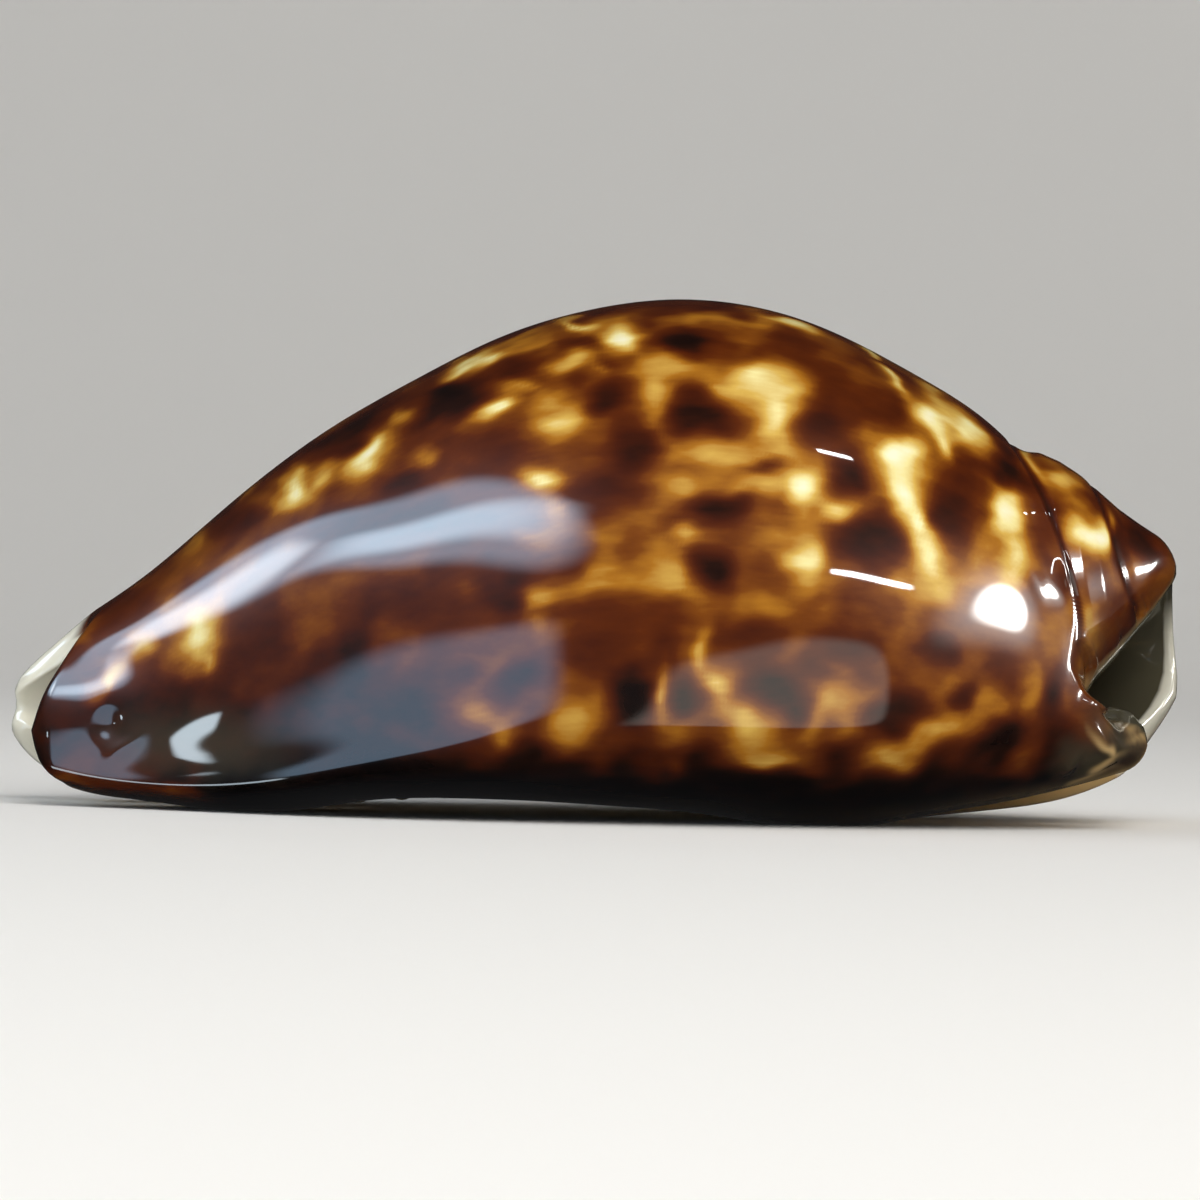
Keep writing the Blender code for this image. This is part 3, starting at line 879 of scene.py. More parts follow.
@dataclass
class Markings:
    """Tortoiseshell pigment and callus of the enamel, at each point of the wall, with painted shade low
    down and a painted highlight on the posterior wing's rim.

    Pigment runs from 0, cream, through 0.2 golden yellow, 0.4 gold, 0.5 amber, 0.7 russet and 0.85
    dark chocolate to 1, near black. The blotches of the columellar side are this shell's own, read one
    by one, in the order in which they are laid; the hidden sides carry others like them.
    """

    seed: int = 5
    front: Table = (
        (-29.0, 6.0, 12.0, 3.2, 0.86), (-13.0, 19.4, 9.0, 2.2, 0.82, 12.0),
        (-34.9, 11.5, 1.4, 0.8, 0.52, 45.0), (-33.4, 11.0, 1.3, 1.0, 0.68),
        (-31.5, 13.5, 2.0, 1.1, 0.72, 40.0), (-32.5, 8.9, 1.6, 0.6, 0.25, 45.0),
        (-30.7, 10.9, 1.1, 1.6, 0.3), (-33.7, 7.8, 0.9, 0.7, 0.5, 45.0), (-37.0, 8.5, 0.9, 1.3, 0.85),
        (-35.0, 9.5, 1.0, 0.9, 0.7), (-28.0, 11.0, 1.5, 1.7, 0.55),
        (-26.7, 11.7, 1.4, 1.9, 0.08), (-26.0, 10.3, 0.8, 1.0, 0.3), (-27.0, 9.7, 0.9, 0.8, 0.5),
        (-26.0, 7.5, 1.0, 1.5, 0.78), (-22.5, 12.0, 2.2, 2.6, 0.78), (-19.0, 13.0, 1.6, 2.0, 0.56),
        (-32.0, 2.3, 1.5, 1.0, 0.72), (-30.0, 0.9, 5.0, 0.6, 0.6), (-27.5, 17.7, 1.2, 1.6, 0.42),
        (-30.0, 16.0, 1.4, 1.0, 0.62, 45.0), (-25.0, 19.5, 2.0, 1.0, 0.74, 45.0),
        (-23.3, 19.5, 1.0, 1.0, 0.8), (-24.0, 21.8, 0.9, 0.6, 0.45, 45.0),
        (-20.8, 21.7, 1.3, 0.9, 0.04, 60.0), (-21.6, 23.8, 1.0, 0.7, 0.7, 45.0),
        (-24.5, 16.5, 2.2, 1.2, 0.5, 40.0), (-20.5, 18.5, 1.6, 1.4, 0.6),
    )
    shoulder: Table = (
        (-10.0, 28.4, 2.3, 1.3, 0.95), (-16.2, 26.1, 2.9, 0.9, 0.88, 39.0),
        (-13.0, 22.9, 2.2, 0.8, 0.85, 20.0), (-5.5, 30.1, 3.6, 0.7, 0.8, 22.0),
        (-6.5, 24.9, 2.3, 1.6, 0.72), (-1.2, 20.8, 1.6, 1.2, 0.7), (-9.5, 25.8, 1.6, 1.0, 0.7),
        (-1.5, 31.9, 1.8, 0.5, 0.78), (-7.0, 21.2, 2.4, 0.7, 0.66), (-9.5, 22.0, 1.6, 0.8, 0.6),
        (-15.3, 24.2, 2.3, 0.6, 0.0, 40.0), (-18.6, 22.6, 1.2, 0.6, 0.3, 40.0),
        (-8.9, 30.4, 2.4, 0.5, 0.1, 24.0), (-7.6, 30.9, 0.8, 0.3, 0.0, 20.0),
        (-7.3, 27.3, 1.7, 1.0, 0.18, 25.0), (-6.7, 27.6, 0.8, 0.4, 0.0, 30.0),
        (-13.1, 26.8, 0.7, 0.7, 0.38), (-11.5, 24.2, 1.1, 0.9, 0.4), (-3.1, 26.4, 1.4, 1.3, 0.2),
        (-3.6, 22.8, 2.3, 0.9, 0.22), (-3.4, 22.8, 1.1, 0.4, 0.0), (-2.0, 30.6, 1.7, 0.7, 0.25),
        (-1.8, 33.3, 1.6, 0.35, 0.15), (-6.1, 31.6, 2.6, 0.35, 0.4, 18.0), (-5.0, 28.9, 2.0, 0.5, 0.38),
        (-3.0, 21.0, 0.8, 1.2, 0.42), (-4.0, 19.2, 1.6, 0.7, 0.45),
    )
    middle: Table = (
        (-3.5, 15.2, 1.6, 0.7, 0.33), (0.0, 16.0, 2.5, 0.6, 0.38, 15.0), (4.5, 16.0, 1.5, 0.8, 0.28),
        (-9.0, 15.5, 1.2, 0.8, 0.52), (-12.0, 14.0, 4.0, 2.0, 0.75), (-13.5, 12.3, 1.4, 1.0, 0.6),
        (-6.5, 14.8, 1.5, 0.8, 0.85), (0.0, 14.0, 2.0, 0.8, 0.66), (-3.5, 13.5, 1.0, 1.0, 0.45),
        (-8.0, 12.0, 2.5, 1.2, 0.62), (0.0, 11.0, 2.5, 1.5, 0.72), (-7.5, 7.3, 1.8, 1.2, 0.4),
        (-6.0, 6.0, 1.0, 0.9, 0.4), (-1.3, 6.6, 1.4, 1.3, 0.38), (-3.5, 4.8, 1.2, 1.2, 0.92),
        (-4.8, 9.6, 1.8, 1.5, 0.85), (-3.3, 2.9, 0.8, 0.7, 0.85), (-13.0, 7.5, 3.4, 2.2, 0.88),
        (-18.0, 8.0, 2.6, 2.6, 0.86), (-10.5, 4.8, 2.0, 1.2, 0.85), (-16.0, 4.5, 3.0, 1.3, 0.92),
    )
    crown: Table = (
        (4.0, 34.9, 4.5, 0.5, 0.68), (5.2, 32.0, 2.6, 1.0, 0.95), (1.1, 30.5, 1.0, 0.55, 0.74),
        (0.4, 28.0, 1.9, 1.5, 0.88), (2.2, 24.8, 2.0, 1.5, 0.85), (0.2, 22.1, 2.9, 1.2, 0.78),
        (6.2, 26.9, 2.4, 1.4, 0.9), (6.0, 28.4, 1.0, 0.9, 0.8), (8.0, 20.9, 2.2, 1.3, 0.87),
        (10.9, 23.6, 1.3, 0.8, 0.72), (14.6, 26.6, 2.2, 1.9, 0.8), (16.4, 23.3, 1.5, 1.4, 0.84),
        (15.0, 30.2, 3.2, 1.6, 0.68, -20.0), (12.5, 32.2, 2.6, 0.7, 0.72, -14.0),
        (8.5, 31.7, 1.4, 0.7, 0.66), (18.5, 31.0, 2.4, 0.8, 0.72, -30.0),
        (18.0, 28.0, 2.0, 1.6, 0.7, -45.0), (12.0, 21.0, 1.2, 0.8, 0.6), (1.2, 32.2, 1.4, 0.9, 0.18),
        (1.3, 32.3, 0.8, 0.45, 0.0), (10.6, 29.8, 2.0, 1.3, 0.08), (11.7, 27.6, 1.1, 1.8, 0.15),
        (9.0, 29.0, 1.4, 1.0, 0.25), (3.5, 28.7, 0.9, 1.7, 0.26), (7.8, 24.6, 2.8, 0.7, 0.3),
        (5.0, 30.3, 3.0, 0.5, 0.32), (13.4, 22.5, 1.4, 1.1, 0.1), (13.4, 22.4, 0.7, 0.5, 0.0),
        (15.7, 21.1, 0.9, 0.6, 0.12), (5.9, 19.2, 1.0, 0.7, 0.3), (14.0, 18.5, 1.5, 0.8, 0.15),
        (7.1, 33.6, 4.0, 0.3, 0.4), (12.7, 33.6, 1.8, 0.35, 0.1, -20.0), (5.6, 22.6, 1.4, 0.8, 0.3),
        (9.6, 22.6, 1.4, 0.8, 0.34), (11.2, 25.2, 1.2, 0.6, 0.34), (17.8, 32.3, 1.0, 0.3, 0.15, -25.0),
    )
    flank: Table = (
        (7.4, 17.0, 1.6, 1.4, 0.93), (2.0, 13.8, 4.2, 1.6, 0.66), (6.2, 8.8, 1.3, 1.4, 0.9),
        (11.7, 8.7, 2.4, 1.5, 0.9), (2.3, 8.1, 1.3, 2.0, 0.97), (16.2, 4.9, 1.7, 1.3, 0.92),
        (16.2, 12.0, 1.7, 0.9, 0.78), (9.9, 12.8, 2.8, 1.1, 0.72), (7.8, 4.2, 1.7, 1.0, 0.95),
        (5.4, 4.3, 0.9, 0.9, 0.64), (17.9, 19.3, 2.3, 2.0, 0.85), (19.7, 7.5, 1.4, 1.2, 0.88),
        (14.3, 10.3, 1.6, 0.9, 0.72), (18.5, 15.0, 1.3, 1.0, 0.6), (10.7, 16.7, 1.8, 0.8, 0.6),
        (13.6, 18.0, 1.4, 0.8, 0.12), (4.2, 16.3, 2.0, 0.7, 0.33), (0.3, 17.0, 2.6, 0.7, 0.35, 10.0),
        (7.0, 11.8, 0.7, 1.6, 0.28), (8.0, 9.3, 1.0, 1.9, 0.24, 15.0), (9.6, 6.9, 1.6, 1.2, 0.24),
        (-1.5, 6.8, 1.6, 1.3, 0.33), (11.3, 4.6, 2.8, 1.2, 0.28), (11.4, 14.8, 1.5, 0.7, 0.42),
        (15.6, 8.6, 1.8, 1.2, 0.3), (19.5, 4.8, 1.9, 1.1, 0.3), (4.3, 9.0, 0.5, 2.0, 0.33),
        (12.0, 19.6, 1.5, 0.9, 0.42),
    )
    rear: Table = (
        (23.0, 12.5, 3.4, 2.8, 0.55), (23.1, 21.0, 1.7, 2.5, 0.84), (27.5, 23.8, 2.7, 1.15, 0.88, -60.0),
        (24.6, 24.2, 1.6, 1.2, 0.75), (20.0, 28.4, 1.4, 1.0, 0.76), (26.5, 26.9, 1.3, 0.6, 0.74, -38.0),
        (25.8, 21.6, 0.9, 2.0, 0.7), (22.5, 12.2, 1.3, 1.0, 0.78), (24.3, 9.0, 1.0, 0.9, 0.8),
        (27.5, 11.0, 1.2, 1.8, 0.68), (20.0, 8.0, 2.0, 1.6, 0.86), (27.3, 6.0, 1.3, 2.0, 0.94, -20.0),
        (28.5, 5.0, 0.8, 1.8, 0.6, -25.0), (30.5, 9.0, 0.9, 2.3, 0.84, -12.0), (31.5, 5.5, 1.5, 1.5, 0.86),
        (34.0, 14.0, 1.0, 1.2, 0.55), (29.6, 19.0, 1.0, 2.2, 0.66), (30.5, 20.5, 0.7, 1.6, 0.74, 20.0),
        (19.9, 24.8, 1.5, 1.3, 0.0), (20.4, 22.7, 1.2, 1.7, 0.0), (21.1, 20.5, 0.9, 1.6, 0.05),
        (21.7, 18.4, 1.1, 1.4, 0.08), (22.4, 16.4, 1.3, 1.2, 0.25), (27.2, 20.9, 1.3, 1.4, 0.0),
        (27.5, 17.9, 1.0, 2.0, 0.16), (22.1, 27.3, 1.6, 1.0, 0.0, -40.0),
        (19.4, 30.0, 1.9, 0.4, 0.15, -38.0), (24.4, 26.9, 1.3, 0.5, 0.12, -35.0),
        (22.9, 25.6, 0.6, 1.2, 0.15, 25.0), (28.8, 24.6, 0.45, 2.0, 0.2, 32.0),
        (22.3, 29.6, 1.2, 0.3, 0.25, -35.0), (22.5, 6.5, 2.6, 1.2, 0.34, 20.0), (26.5, 8.3, 1.1, 0.9, 0.42),
        (28.8, 9.5, 0.5, 1.8, 0.42, -10.0), (32.3, 13.5, 0.8, 1.8, 0.34, 10.0),
        (30.0, 13.0, 0.9, 2.0, 0.44),
    )
    spire: Table = (
        (31.0, 23.5, 1.3, 1.2, 0.27, -40.0), (30.2, 25.3, 1.2, 0.6, 0.5, -30.0), (33.0, 20.0, 1.7, 1.1, 0.0),
        (31.5, 21.8, 1.0, 0.8, 0.45), (34.5, 19.5, 0.6, 1.3, 0.45), (33.2, 23.5, 1.2, 0.7, 0.6, -40.0),
        (34.7, 19.6, 0.55, 2.4, 0.74, 15.0), (36.6, 19.6, 2.2, 1.5, 0.86, -35.0),
        (35.4, 22.0, 1.4, 0.3, 0.45, -40.0), (33.6, 23.6, 1.6, 0.4, 0.72, -40.0),
        (39.5, 18.0, 0.8, 1.4, 0.42), (37.2, 16.2, 1.8, 0.8, 0.58, 42.0),
        (34.8, 14.4, 1.6, 0.8, 0.62, 48.0), (32.8, 13.6, 0.7, 1.3, 0.32, -10.0),
    )
    callus: Table = (
        (35.5, 6.8, 2.6, 2.4, 0.9, -50.0), (33.0, 5.0, 2.2, 1.6, 0.75, 25.0), (37.2, 8.3, 1.2, 1.0, 0.8),
        (-26.5, 4.6, 6.0, 2.2, 0.5), (33.0, 12.6, 1.0, 1.8, 0.35, -15.0),
    )
    folds: Table = (
        (35.3, 7.7, 1.8, 0.4, 1.0, -58.0), (34.2, 5.7, 1.6, 0.4, 1.0, -52.0),
        (33.8, 4.0, 2.4, 0.4, 0.8, 32.0), (36.6, 6.2, 0.8, 0.4, 0.8, 10.0),
    )
    # Painted highlight: cream laid on the last rings of the posterior rim, where the wing's edge catches
    # light
    wing_rim_highlight: float = 0.55
    seam_width: float = 0.3
    seam_value: float = 0.9
    seam_share: float = 0.75
    ground_level: float = 0.58
    ground_waves: tuple[tuple[float, int, float], ...] = ((0.05, 30, 8.0), (0.05, 31, 3.0))
    # Painted shade: pigment added below these heights, by the first amount all along and by the second past
    # the front
    shade_heights: tuple[float, float] = (1.5, 8.0)
    shade_amounts: tuple[float, float] = (0.15, 0.27)
    shade_front_fade: tuple[float, float] = (-31.0, -22.0)
    hidden_count: int = 170
    hidden_reach: tuple[float, float] = (1.0, 2.7)
    hidden_stretch: tuple[float, float] = (0.6, 1.5)
    hidden_lift: float = 0.06
    hidden_columns: tuple[float, float] = (6.0, 12.5)
    hidden_start: tuple[float, float] = (-0.1, 0.5)
    light_growth: float = 1.2
    light_values: tuple[float, float] = (0.0, 0.2)
    dark_growth: float = 0.9
    dark_values: tuple[float, float] = (0.78, 0.97)
    dark_edge: tuple[float, float] = (0.25, 1.5)
    # Painted shade: near-black pigment low on the flanks and base, along the middle of the shell
    underside_shade_value: float = 0.98
    underside_shade_heights: tuple[float, float] = (2.0, 4.2)
    underside_shade_columns: tuple[float, float] = (2.0, 12.0)
    underside_shade_fades: tuple[float, float, float, float] = (-24.0, -16.0, 22.0, 30.0)
    columellar_tan: tuple[float, float] = (0.8, 2.6)
    labral_tan: tuple[float, float] = (11.2, 12.6)
    cream_columns: tuple[float, float] = (7.0, 7.3)
    cream_fade: tuple[float, float] = (-34.4, -32.8)
    cream_shift: float = 1.6
    cream_shift_fades: tuple[float, float, float, float] = (7.4, 9.6, 10.8, 12.0)
    inner_smoke: tuple[float, float] = (30.0, 33.0)
    callus_from: float = 2.0
    wing_highlight_columns: tuple[float, float] = (8.2, 9.0)
    fields: Table = (
        (7.5, 25.0, 9.0, 7.0, -0.16), (22.0, 18.0, 6.0, 8.0, -0.1), (10.0, 5.0, 8.0, 3.5, -0.06),
        (-12.0, 25.0, 9.0, 8.0, 0.1), (1.0, 13.0, 6.0, 3.5, 0.1), (-16.0, 8.0, 9.0, 6.0, 0.16),
        (8.0, 34.8, 14.0, 1.6, 0.14),
    )
    warp: tuple[float, float] = (0.22, 0.08)
    warp_lengths: tuple[float, float] = (5.0, 1.9)

    def warped(self, points: Array) -> Array:
        """Move points a little by seeded waves, so that no edge of a blotch is even.

        Args:
            points: The wall's points, in millimetres.

        Returns:
            The moved points.
        """
        moved = points.copy()
        for index, (amount, length) in enumerate(zip(self.warp, self.warp_lengths)):
            for axis in range(3):
                seed = self.seed + 10 * index + axis
                moved[..., axis] += amount * Waves(seed, length).read(points)
        return moved

    def ground(self, points: Array) -> Array:
        """Set the pigment between the blotches: amber above, uneven all over, and darker low down as painted
        shade where the lower flanks and the base get little light.

        Args:
            points: The wall's points, in millimetres.

        Returns:
            The pigment.
        """
        ground = np.full(points.shape[:-1], self.ground_level)
        for amount, step, length in self.ground_waves:
            ground += amount * Waves(self.seed + step, length).read(points)
        # Painted shade: darker pigment low down, where the lower flanks and the base get little light
        low = 1.0 - smooth_step(points[..., 2], *self.shade_heights)
        all_along, past_front = self.shade_amounts
        return ground + low * (all_along + past_front * smooth_step(points[..., 0], *self.shade_front_fade))

    def seen_side(self, points: Array, pigment: Array) -> Array:
        """Lay the broad fields of lighter and darker enamel, then this shell's own blotches.

        Args:
            points: The wall's points, in millimetres.
            pigment: The ground's pigment.

        Returns:
            The pigment of the columellar side.
        """
        for values in self.fields:
            spot = Spot(*values)
            pigment = pigment + spot.value * spot.glow(points)
        for group in (self.front, self.shoulder, self.middle, self.crown, self.flank, self.rear, self.spire):
            for values in group:
                spot = Spot(*values)
                pigment = blend(pigment, spot.value, spot.cover(points))
        return pigment

    def hidden_sides(self, points: Array, pigment: Array, columns: Array) -> Array:
        """Lay seeded blotches over the ground, light and dark by turns, for the sides not seen.

        Args:
            points: The wall's points, in millimetres.
            pigment: The ground's pigment.
            columns: Place of each grid column round the section.

        Returns:
            The pigment of the hidden sides.
        """
        draw = np.random.default_rng(self.seed)
        pigment = pigment - self.hidden_lift
        first, last = self.hidden_columns
        flat = points[:, (columns > first) & (columns < last)].reshape(-1, 3)
        for index in range(self.hidden_count):
            centre = flat[draw.integers(len(flat))]
            light = index % 2 == 1
            reach = draw.uniform(*self.hidden_reach) * (self.light_growth if light else self.dark_growth)
            stretch = draw.uniform(*self.hidden_stretch)
            value = draw.uniform(*(self.light_values if light else self.dark_values))
            offset = (points - centre) / np.array((reach * stretch, reach, reach))
            far = np.linalg.norm(offset, axis=-1)
            weight = np.exp(-far * far) if light else 1.0 - smooth_step(far, *self.dark_edge)
            pigment = blend(pigment, value, weight)
        return pigment

    def pigment(self, points: Array, columns: Array, seams: Array, section: Section) -> Array:
        """Put the two sides together, darken the seams, and paint shade near black low down between base and
        flank.

        Args:
            points: The wall's points, in millimetres.
            columns: Place of each grid column round the section.
            seams: How near each point lies to a suture.
            section: The wall's section.

        Returns:
            The pigment.
        """
        ground = self.ground(points)
        start, end = self.hidden_start
        past_crown = smooth_step(columns, section.crown + start, section.crown + end)
        seen, hidden = self.seen_side(points, ground), self.hidden_sides(points, ground, columns)
        pigment = blend(seen, hidden, past_crown)
        pigment = blend(pigment, self.seam_value, self.seam_share * seams)
        # Painted shade: near black low down between base and flank, where no light reaches
        first, last = self.underside_shade_columns
        keel_shade = (1.0 - smooth_step(points[..., 2], *self.underside_shade_heights)) * (columns > first) * (columns < last)
        return blend(pigment, self.underside_shade_value, keel_shade * band(points[..., 0], *self.underside_shade_fades))

    def paint(self, grid: Array, columns: Array, wall: ShellWall) -> dict[Mark, Array]:
        """Work out the pigment, tan, cream and smoke of every point.

        Args:
            grid: The wall's points, in millimetres.
            columns: Place of each grid column round the section.
            wall: The wall, for its section, its sutures and its rims.

        Returns:
            The values, by attribute.
        """
        section = wall.section
        partners = section.partners(columns)
        points = self.warped(grid)
        seams = np.maximum(*wall.spire.seams(grid, columns, partners, self.seam_width))
        inner = columns > section.last_tip
        left = columns < section.crown
        near = left & (columns > self.callus_from)
        folds = self.layered(self.folds, points) * near
        base = np.where(left, 1.0 - smooth_step(columns, *self.columellar_tan),
                        smooth_step(columns, *self.labral_tan))
        tan = np.maximum(np.maximum(base, inner), folds)
        smoke = inner * smooth_step(grid[..., 0], *self.inner_smoke)
        smoke = np.maximum(smoke, self.layered(self.callus, points) * near) * (1.0 - folds)
        lip_place = points[..., 0] + self.cream_shift * band(columns, *self.cream_shift_fades)
        cream = smooth_step(columns, *self.cream_columns) * (1.0 - smooth_step(lip_place, *self.cream_fade))
        # Painted highlight: cream on the last rings of the posterior rim over the wing, standing in for
        # light on its edge
        rim = np.zeros(grid.shape[:2])
        rim[-len(wall.rim_angles):] = self.wing_rim_highlight
        cream = np.maximum(cream, rim * smooth_step(partners, *self.wing_highlight_columns))
        values = {Mark.PIGMENT: self.pigment(points, columns, seams, section),
                  Mark.TAN: tan, Mark.CREAM: cream, Mark.SMOKE: smoke}
        return {mark: np.clip(value, 0.0, 1.0) for mark, value in values.items()}

    def layered(self, group: Table, points: Array) -> Array:
        """Find the strongest of a group's blotches at each point.

        Args:
            group: The blotches.
            points: The wall's points, in millimetres.

        Returns:
            Its weight, times its value.
        """
        strongest = np.zeros(points.shape[:2])
        for spot in (Spot(*values) for values in group):
            strongest = np.maximum(strongest, spot.value * spot.cover(points))
        return strongest


def paint(red: float, green: float, blue: float) -> tuple[float, float, float, float]:
    """Make a colour for a shader.

    Args:
        red: Red on a screen, 0 to 255.
        green: Green on a screen, 0 to 255.
        blue: Blue on a screen, 0 to 255.

    Returns:
        The linear colour, with full cover.
    """
    parts = (value / 255.0 for value in (red, green, blue))
    linear = [part / 12.92 if part <= 0.04045 else ((part + 0.055) / 1.055) ** 2.4 for part in parts]
    return (*linear, 1.0)


@dataclass(frozen=True)
class Enamel:
    """Clear glassy enamel over pigment that runs from cream through amber to near black."""

    shades: tuple[tuple[float, Colour], ...] = (
        (0.0, (253, 247, 214)), (0.12, (244, 230, 162)), (0.25, (216, 176, 84)), (0.4, (170, 110, 26)),
        (0.52, (122, 65, 10)), (0.64, (88, 36, 5)), (0.76, (66, 23, 5)), (0.88, (37, 15, 7)),
        (1.0, (13, 6, 5)))
    tan: Colour = (208, 176, 120)
    # Also the colour of the painted highlight on the posterior wing's rim
    cream: Colour = (246, 243, 226)
    smoke: Colour = (70, 66, 52)
    coat_roughness: float = 0.03
    roughness: float = 0.35
    specular: float = 0.1
    fleck_scale: float = 900.0
    fleck_stretch: tuple[float, float, float] = (0.35, 1.0, 1.0)
    fleck_turn: float = -18.0
    fleck_detail: float = 3.0
    fleck: float = 0.2

    def build(self) -> bpy.types.Material:
        """Make the material.

        Returns:
            The material, which reads the wall's per-point values.
        """
        material = bpy.data.materials.new("cowry enamel")
        material.use_nodes = True
        shader = material.node_tree.nodes["Principled BSDF"]
        wires = Wiring(material.node_tree)
        pigment, tan, smoke, cream = (
            wires.add("ShaderNodeAttribute", {}, "Fac", attribute_name=mark.value)
            for mark in (Mark.PIGMENT, Mark.TAN, Mark.SMOKE, Mark.CREAM))
        colour = wires.add("ShaderNodeValToRGB", {"Fac": self.flecked(wires, pigment)}, "Color")
        stops = colour.node.color_ramp.elements
        while len(stops) < len(self.shades):
            stops.new(0.5)
        for stop, (place, shade) in zip(stops, self.shades):
            stop.position = place
            stop.color = paint(*shade)
        for share, shade in ((tan, self.tan), (smoke, self.smoke), (cream, self.cream)):
            colour = wires.add("ShaderNodeMix", {"Factor": share, "A": colour, "B": paint(*shade)}, "Result",
                               data_type="RGBA")
        wires.join(colour, shader.inputs["Base Color"])
        shader.inputs["Roughness"].default_value = self.roughness
        shader.inputs["Specular IOR Level"].default_value = self.specular
        shader.inputs["Coat Weight"].default_value = 1.0
        shader.inputs["Coat Roughness"].default_value = self.coat_roughness
        return material

    def flecked(self, wires: Wiring, pigment: bpy.types.NodeSocket) -> bpy.types.NodeSocket:
        """Make the pigment uneven at the scale of its grains, drawn out along the shell.

        Args:
            wires: The material's nodes.
            pigment: The pigment's smooth value.

        Returns:
            The uneven value.
        """
        turn = (0.0, math.radians(self.fleck_turn), 0.0)
        place = wires.add("ShaderNodeTexCoord", {}, "Object")
        place = wires.add("ShaderNodeMapping",
                          {"Vector": place, "Rotation": turn, "Scale": self.fleck_stretch}, "Vector")
        noise = wires.add("ShaderNodeTexNoise",
                          {"Vector": place, "Scale": self.fleck_scale, "Detail": self.fleck_detail}, "Fac")
        flecked = wires.math("MULTIPLY_ADD", noise, self.fleck, pigment)
        return wires.math("SUBTRACT", flecked, 0.5 * self.fleck)


@dataclass(frozen=True)
class Softbox:
    """One soft light, aimed at the shell from a direction seen from it.

    Azimuth 0 is towards the camera and 90 towards +X; brightness is the radiance of the lit face.
    """

    name: str
    azimuth: float
    elevation: float
    width: float
    height: float
    brightness: float
    colour: Colour = (1.0, 1.0, 1.0)
    distance: float = 0.6
    turn: float = 0.0
    core: float = 0.85
    edge: float = 1.0
    halo: float = 0.0
    corner: float = 0.6
    round_face: bool = False
    use: LightUse = LightUse.GLOSS

    def build(self, aim: Vector) -> bpy.types.Object:
        """Make the light.

        Args:
            aim: The point that the light faces.

        Returns:
            The light's object.
        """
        data = bpy.data.lights.new(self.name, "AREA")
        data.shape = "RECTANGLE"
        data.size, data.size_y = self.width, self.height
        data.energy = self.brightness * math.pi * self.width * self.height
        data.color = self.colour
        self.soften(data)
        light = bpy.data.objects.new(self.name, data)
        around, up = math.radians(self.azimuth), math.radians(self.elevation)
        way = Vector((math.sin(around) * math.cos(up), -math.cos(around) * math.cos(up), math.sin(up)))
        facing = way.to_track_quat("Z", "Y").to_matrix().to_4x4()
        turned = facing @ Matrix.Rotation(math.radians(self.turn), 4, "Z")
        light.matrix_world = Matrix.Translation(aim + way * self.distance) @ turned
        light.visible_glossy = self.use is not LightUse.FILL
        light.visible_diffuse = self.use is not LightUse.GLOSS
        bpy.context.scene.collection.objects.link(light)
        return light

    def soften(self, data: bpy.types.AreaLight) -> None:
        """Let the lit face fade from its core to its edge, as a diffuser does, and give it its halo.

        Args:
            data: The light.
        """
        data.use_nodes = True
        wires = Wiring(data.node_tree)
        place = wires.add("ShaderNodeNewGeometry", {}, "Parametric")
        # From 0 to 1 across the face to -1 to 1 about its middle
        centred = wires.add("ShaderNodeVectorMath", {0: place, 1: (2.0, 2.0, 0.0), 2: (-1.0, -1.0, 0.0)},
                            "Vector", operation="MULTIPLY_ADD")
        if self.round_face:
            far = wires.add("ShaderNodeVectorMath", {0: centred}, "Value", operation="LENGTH")
        else:
            sides = wires.add("ShaderNodeVectorMath", {0: centred}, "Vector", operation="ABSOLUTE")
            across = wires.add("ShaderNodeSeparateXYZ", {"Vector": sides}, "X")
            far = wires.math("SMOOTH_MAX", across, across.node.outputs["Y"], self.corner)
        core, halo = (
            wires.add("ShaderNodeMapRange",
                      {"Value": far, "From Min": start, "From Max": end, "To Min": level, "To Max": 0.0},
                      "Result", interpolation_type="SMOOTHSTEP")
            for start, end, level in ((self.core, self.edge, 1.0), (0.0, 1.0, self.halo)))
        wires.join(wires.math("ADD", core, halo), data.node_tree.nodes["Emission"].inputs["Strength"])


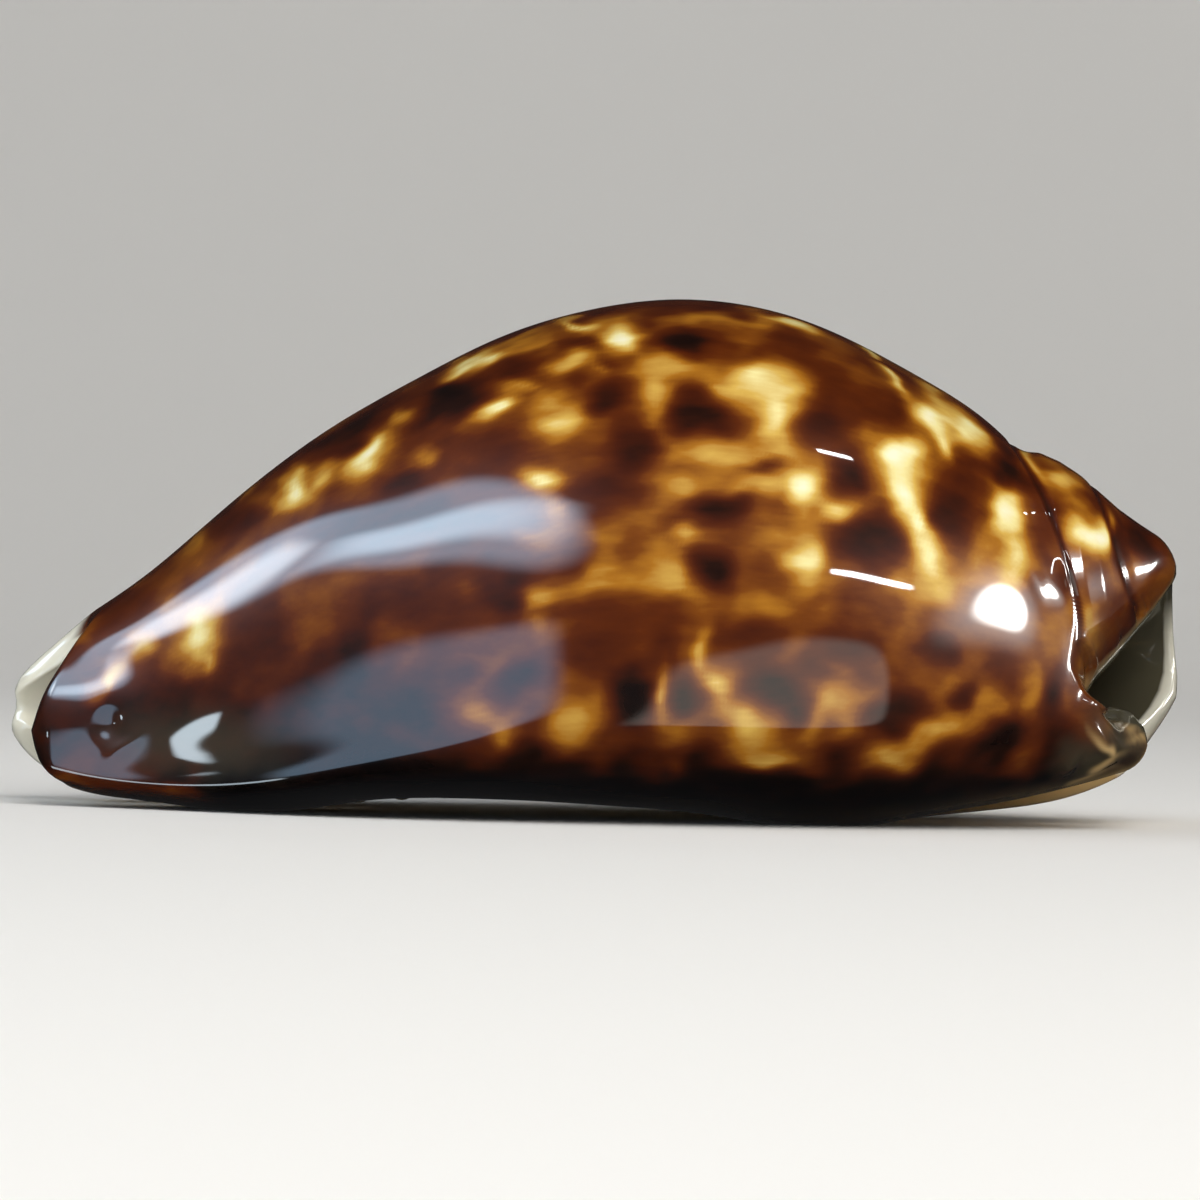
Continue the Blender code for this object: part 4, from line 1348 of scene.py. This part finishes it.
@dataclass
class Studio:
    """Plain pale sweep and soft lights, placed where the shell's gloss mirrors them."""

    half_width: float = 2.0
    front: float = -1.6
    back: float = 0.8
    rise: float = 1.4
    bend: float = 0.45
    bend_steps: int = 20
    paper: Colour = (232, 230, 227)
    paper_roughness: float = 0.85
    sky: Colour = (205, 205, 210)
    sky_strength: float = 0.02
    aim: tuple[float, float, float] = (0.0, 0.0, 15.0 * MM)
    softboxes: tuple[Softbox, ...] = (
        Softbox("upper_band", -71.0, 39.0, 1.34, 0.25, 6.0, (0.56, 0.77, 1.0), turn=5.0, core=0.65,
                round_face=True),
        Softbox("band_core", -52.0, 38.0, 0.62, 0.12, 10.0, (0.68, 0.85, 1.0), turn=4.0, core=0.3),
        Softbox("band_left", -94.0, 32.0, 0.22, 0.13, 9.0, (0.85, 0.93, 1.0), core=0.3),
        Softbox("lower_band", -38.0, 0.0, 0.57, 0.33, 3.0, (0.50, 0.73, 1.0), turn=10.0, core=0.72),
        Softbox("margin_card", -66.0, -22.0, 0.2, 0.12, 9.0, (0.75, 0.9, 1.0), core=0.7),
        Softbox("low_card", -69.4, 6.0, 0.05, 0.026, 14.0, (0.75, 0.9, 1.0), core=0.6),
        Softbox("lamp", 66.6, 17.0, 0.39, 0.18, 90.0, (1.0, 0.98, 0.94), turn=38.0, core=0.15, edge=0.5,
                halo=0.1, round_face=True),
        Softbox("side_lamp", 92.0, 5.0, 0.24, 0.24, 60.0, (1.0, 0.98, 0.94), core=0.2, edge=0.5, halo=0.06,
                round_face=True),
        Softbox("front_veil", 21.0, -13.0, 0.5, 0.46, 1.7, (0.95, 0.93, 0.86), core=0.85),
        Softbox("high_tube", 61.0, 59.3, 0.1, 0.014, 45.0, turn=-28.0),
        Softbox("low_tube", 40.0, 22.0, 0.25, 0.016, 45.0, turn=-9.0),
        Softbox("fill", 25.0, 42.0, 0.9, 0.7, 5.2, (1.0, 0.98, 0.94), distance=0.9, use=LightUse.FILL),
        Softbox("left_fill", -88.0, 25.0, 0.5, 0.4, 2.2, (0.86, 0.93, 1.0), use=LightUse.FILL),
        Softbox("sweep_light", 0.0, 80.0, 2.2, 1.6, 0.5, distance=1.7, use=LightUse.FILL),
    )

    def sweep(self) -> bpy.types.Object:
        """Make the floor that bends up into the backdrop.

        Returns:
            Its object.
        """
        profile = [(self.front, 0.0), (self.back - self.bend, 0.0)]
        for index in range(1, self.bend_steps + 1):
            turn = 0.5 * math.pi * index / self.bend_steps
            profile.append((self.back - self.bend + self.bend * math.sin(turn),
                            self.bend - self.bend * math.cos(turn)))
        profile.append((self.back, self.rise))
        points = [(across, y, z) for across in (-self.half_width, self.half_width) for y, z in profile]
        count = len(profile)
        faces = [(index, count + index, count + index + 1, index + 1) for index in range(count - 1)]
        mesh = bpy.data.meshes.new("sweep")
        mesh.from_pydata(points, [], faces)
        mesh.shade_smooth()
        sweep = bpy.data.objects.new("sweep", mesh)
        bpy.context.scene.collection.objects.link(sweep)
        material = bpy.data.materials.new("pale paper")
        material.use_nodes = True
        shader = material.node_tree.nodes["Principled BSDF"]
        shader.inputs["Base Color"].default_value = paint(*self.paper)
        shader.inputs["Roughness"].default_value = self.paper_roughness
        mesh.materials.append(material)
        sweep.visible_glossy = False
        return sweep

    def build(self) -> None:
        """Make the sweep, the dim sky and the lights."""
        self.sweep()
        world = bpy.data.worlds.new("studio")
        world.use_nodes = True
        background = world.node_tree.nodes["Background"]
        background.inputs["Color"].default_value = paint(*self.sky)
        background.inputs["Strength"].default_value = self.sky_strength
        scene = bpy.context.scene
        scene.world = world
        scene.view_settings.view_transform = "Standard"
        for softbox in self.softboxes:
            softbox.build(Vector(self.aim))


@dataclass
class PhotoCamera:
    """Long lens, level with the table, square on to the columellar side and rolled a little."""

    lens: float = 250.0
    sensor: float = 36.0
    view_width: float = 81.7 * MM
    aim: tuple[float, float, float] = (0.15 * MM, 0.0, 14.65 * MM)
    elevation: float = 0.6
    roll: float = 1.31
    clip: tuple[float, float] = (0.01, 20.0)

    def build(self) -> bpy.types.Object:
        """Make the camera and set it as the scene's.

        Returns:
            Its object.
        """
        data = bpy.data.cameras.new("photo camera")
        data.sensor_width = self.sensor
        data.lens = self.lens
        data.clip_start, data.clip_end = self.clip
        distance = self.view_width * self.lens / self.sensor
        camera = bpy.data.objects.new("photo camera", data)
        pitch = math.radians(90.0 - self.elevation)
        turn = Matrix.Rotation(pitch, 4, "X") @ Matrix.Rotation(math.radians(self.roll), 4, "Z")
        back = turn @ Vector((0.0, 0.0, distance))
        camera.matrix_world = Matrix.Translation(Vector(self.aim) + back) @ turn
        bpy.context.scene.collection.objects.link(camera)
        bpy.context.scene.camera = camera
        return camera


def store(mesh: bpy.types.Mesh, values: dict[Mark, Array]) -> None:
    """Keep per-point values on a mesh as named attributes.

    Args:
        mesh: The mesh.
        values: The values, by attribute.
    """
    for mark, value in values.items():
        attribute = mesh.attributes.new(mark.value, "FLOAT", "POINT")
        attribute.data.foreach_set("value", np.ascontiguousarray(value, dtype=np.float32).ravel())


def main() -> None:
    """Build the shell, the studio and the camera, and log the shell's count of faces."""
    logging.basicConfig(level=logging.INFO, format="%(name)s: %(message)s")
    PhotoCamera().build()
    enamel = Enamel().build()
    wall = ShellWall()
    shell, grid, rows, columns = wall.build()
    ridges = LipRidges()
    values = ridges.weights(wall, rows, columns)
    values.update(Markings().paint(grid, columns, wall))
    store(shell.data, values)
    ridges.raise_on(shell, enamel)
    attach(shell, BODY)
    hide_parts(NODE)
    LOG.info("%s: %d faces", shell.name, len(shell.data.polygons))
    Studio().build()


if __name__ == "__main__":
    main()
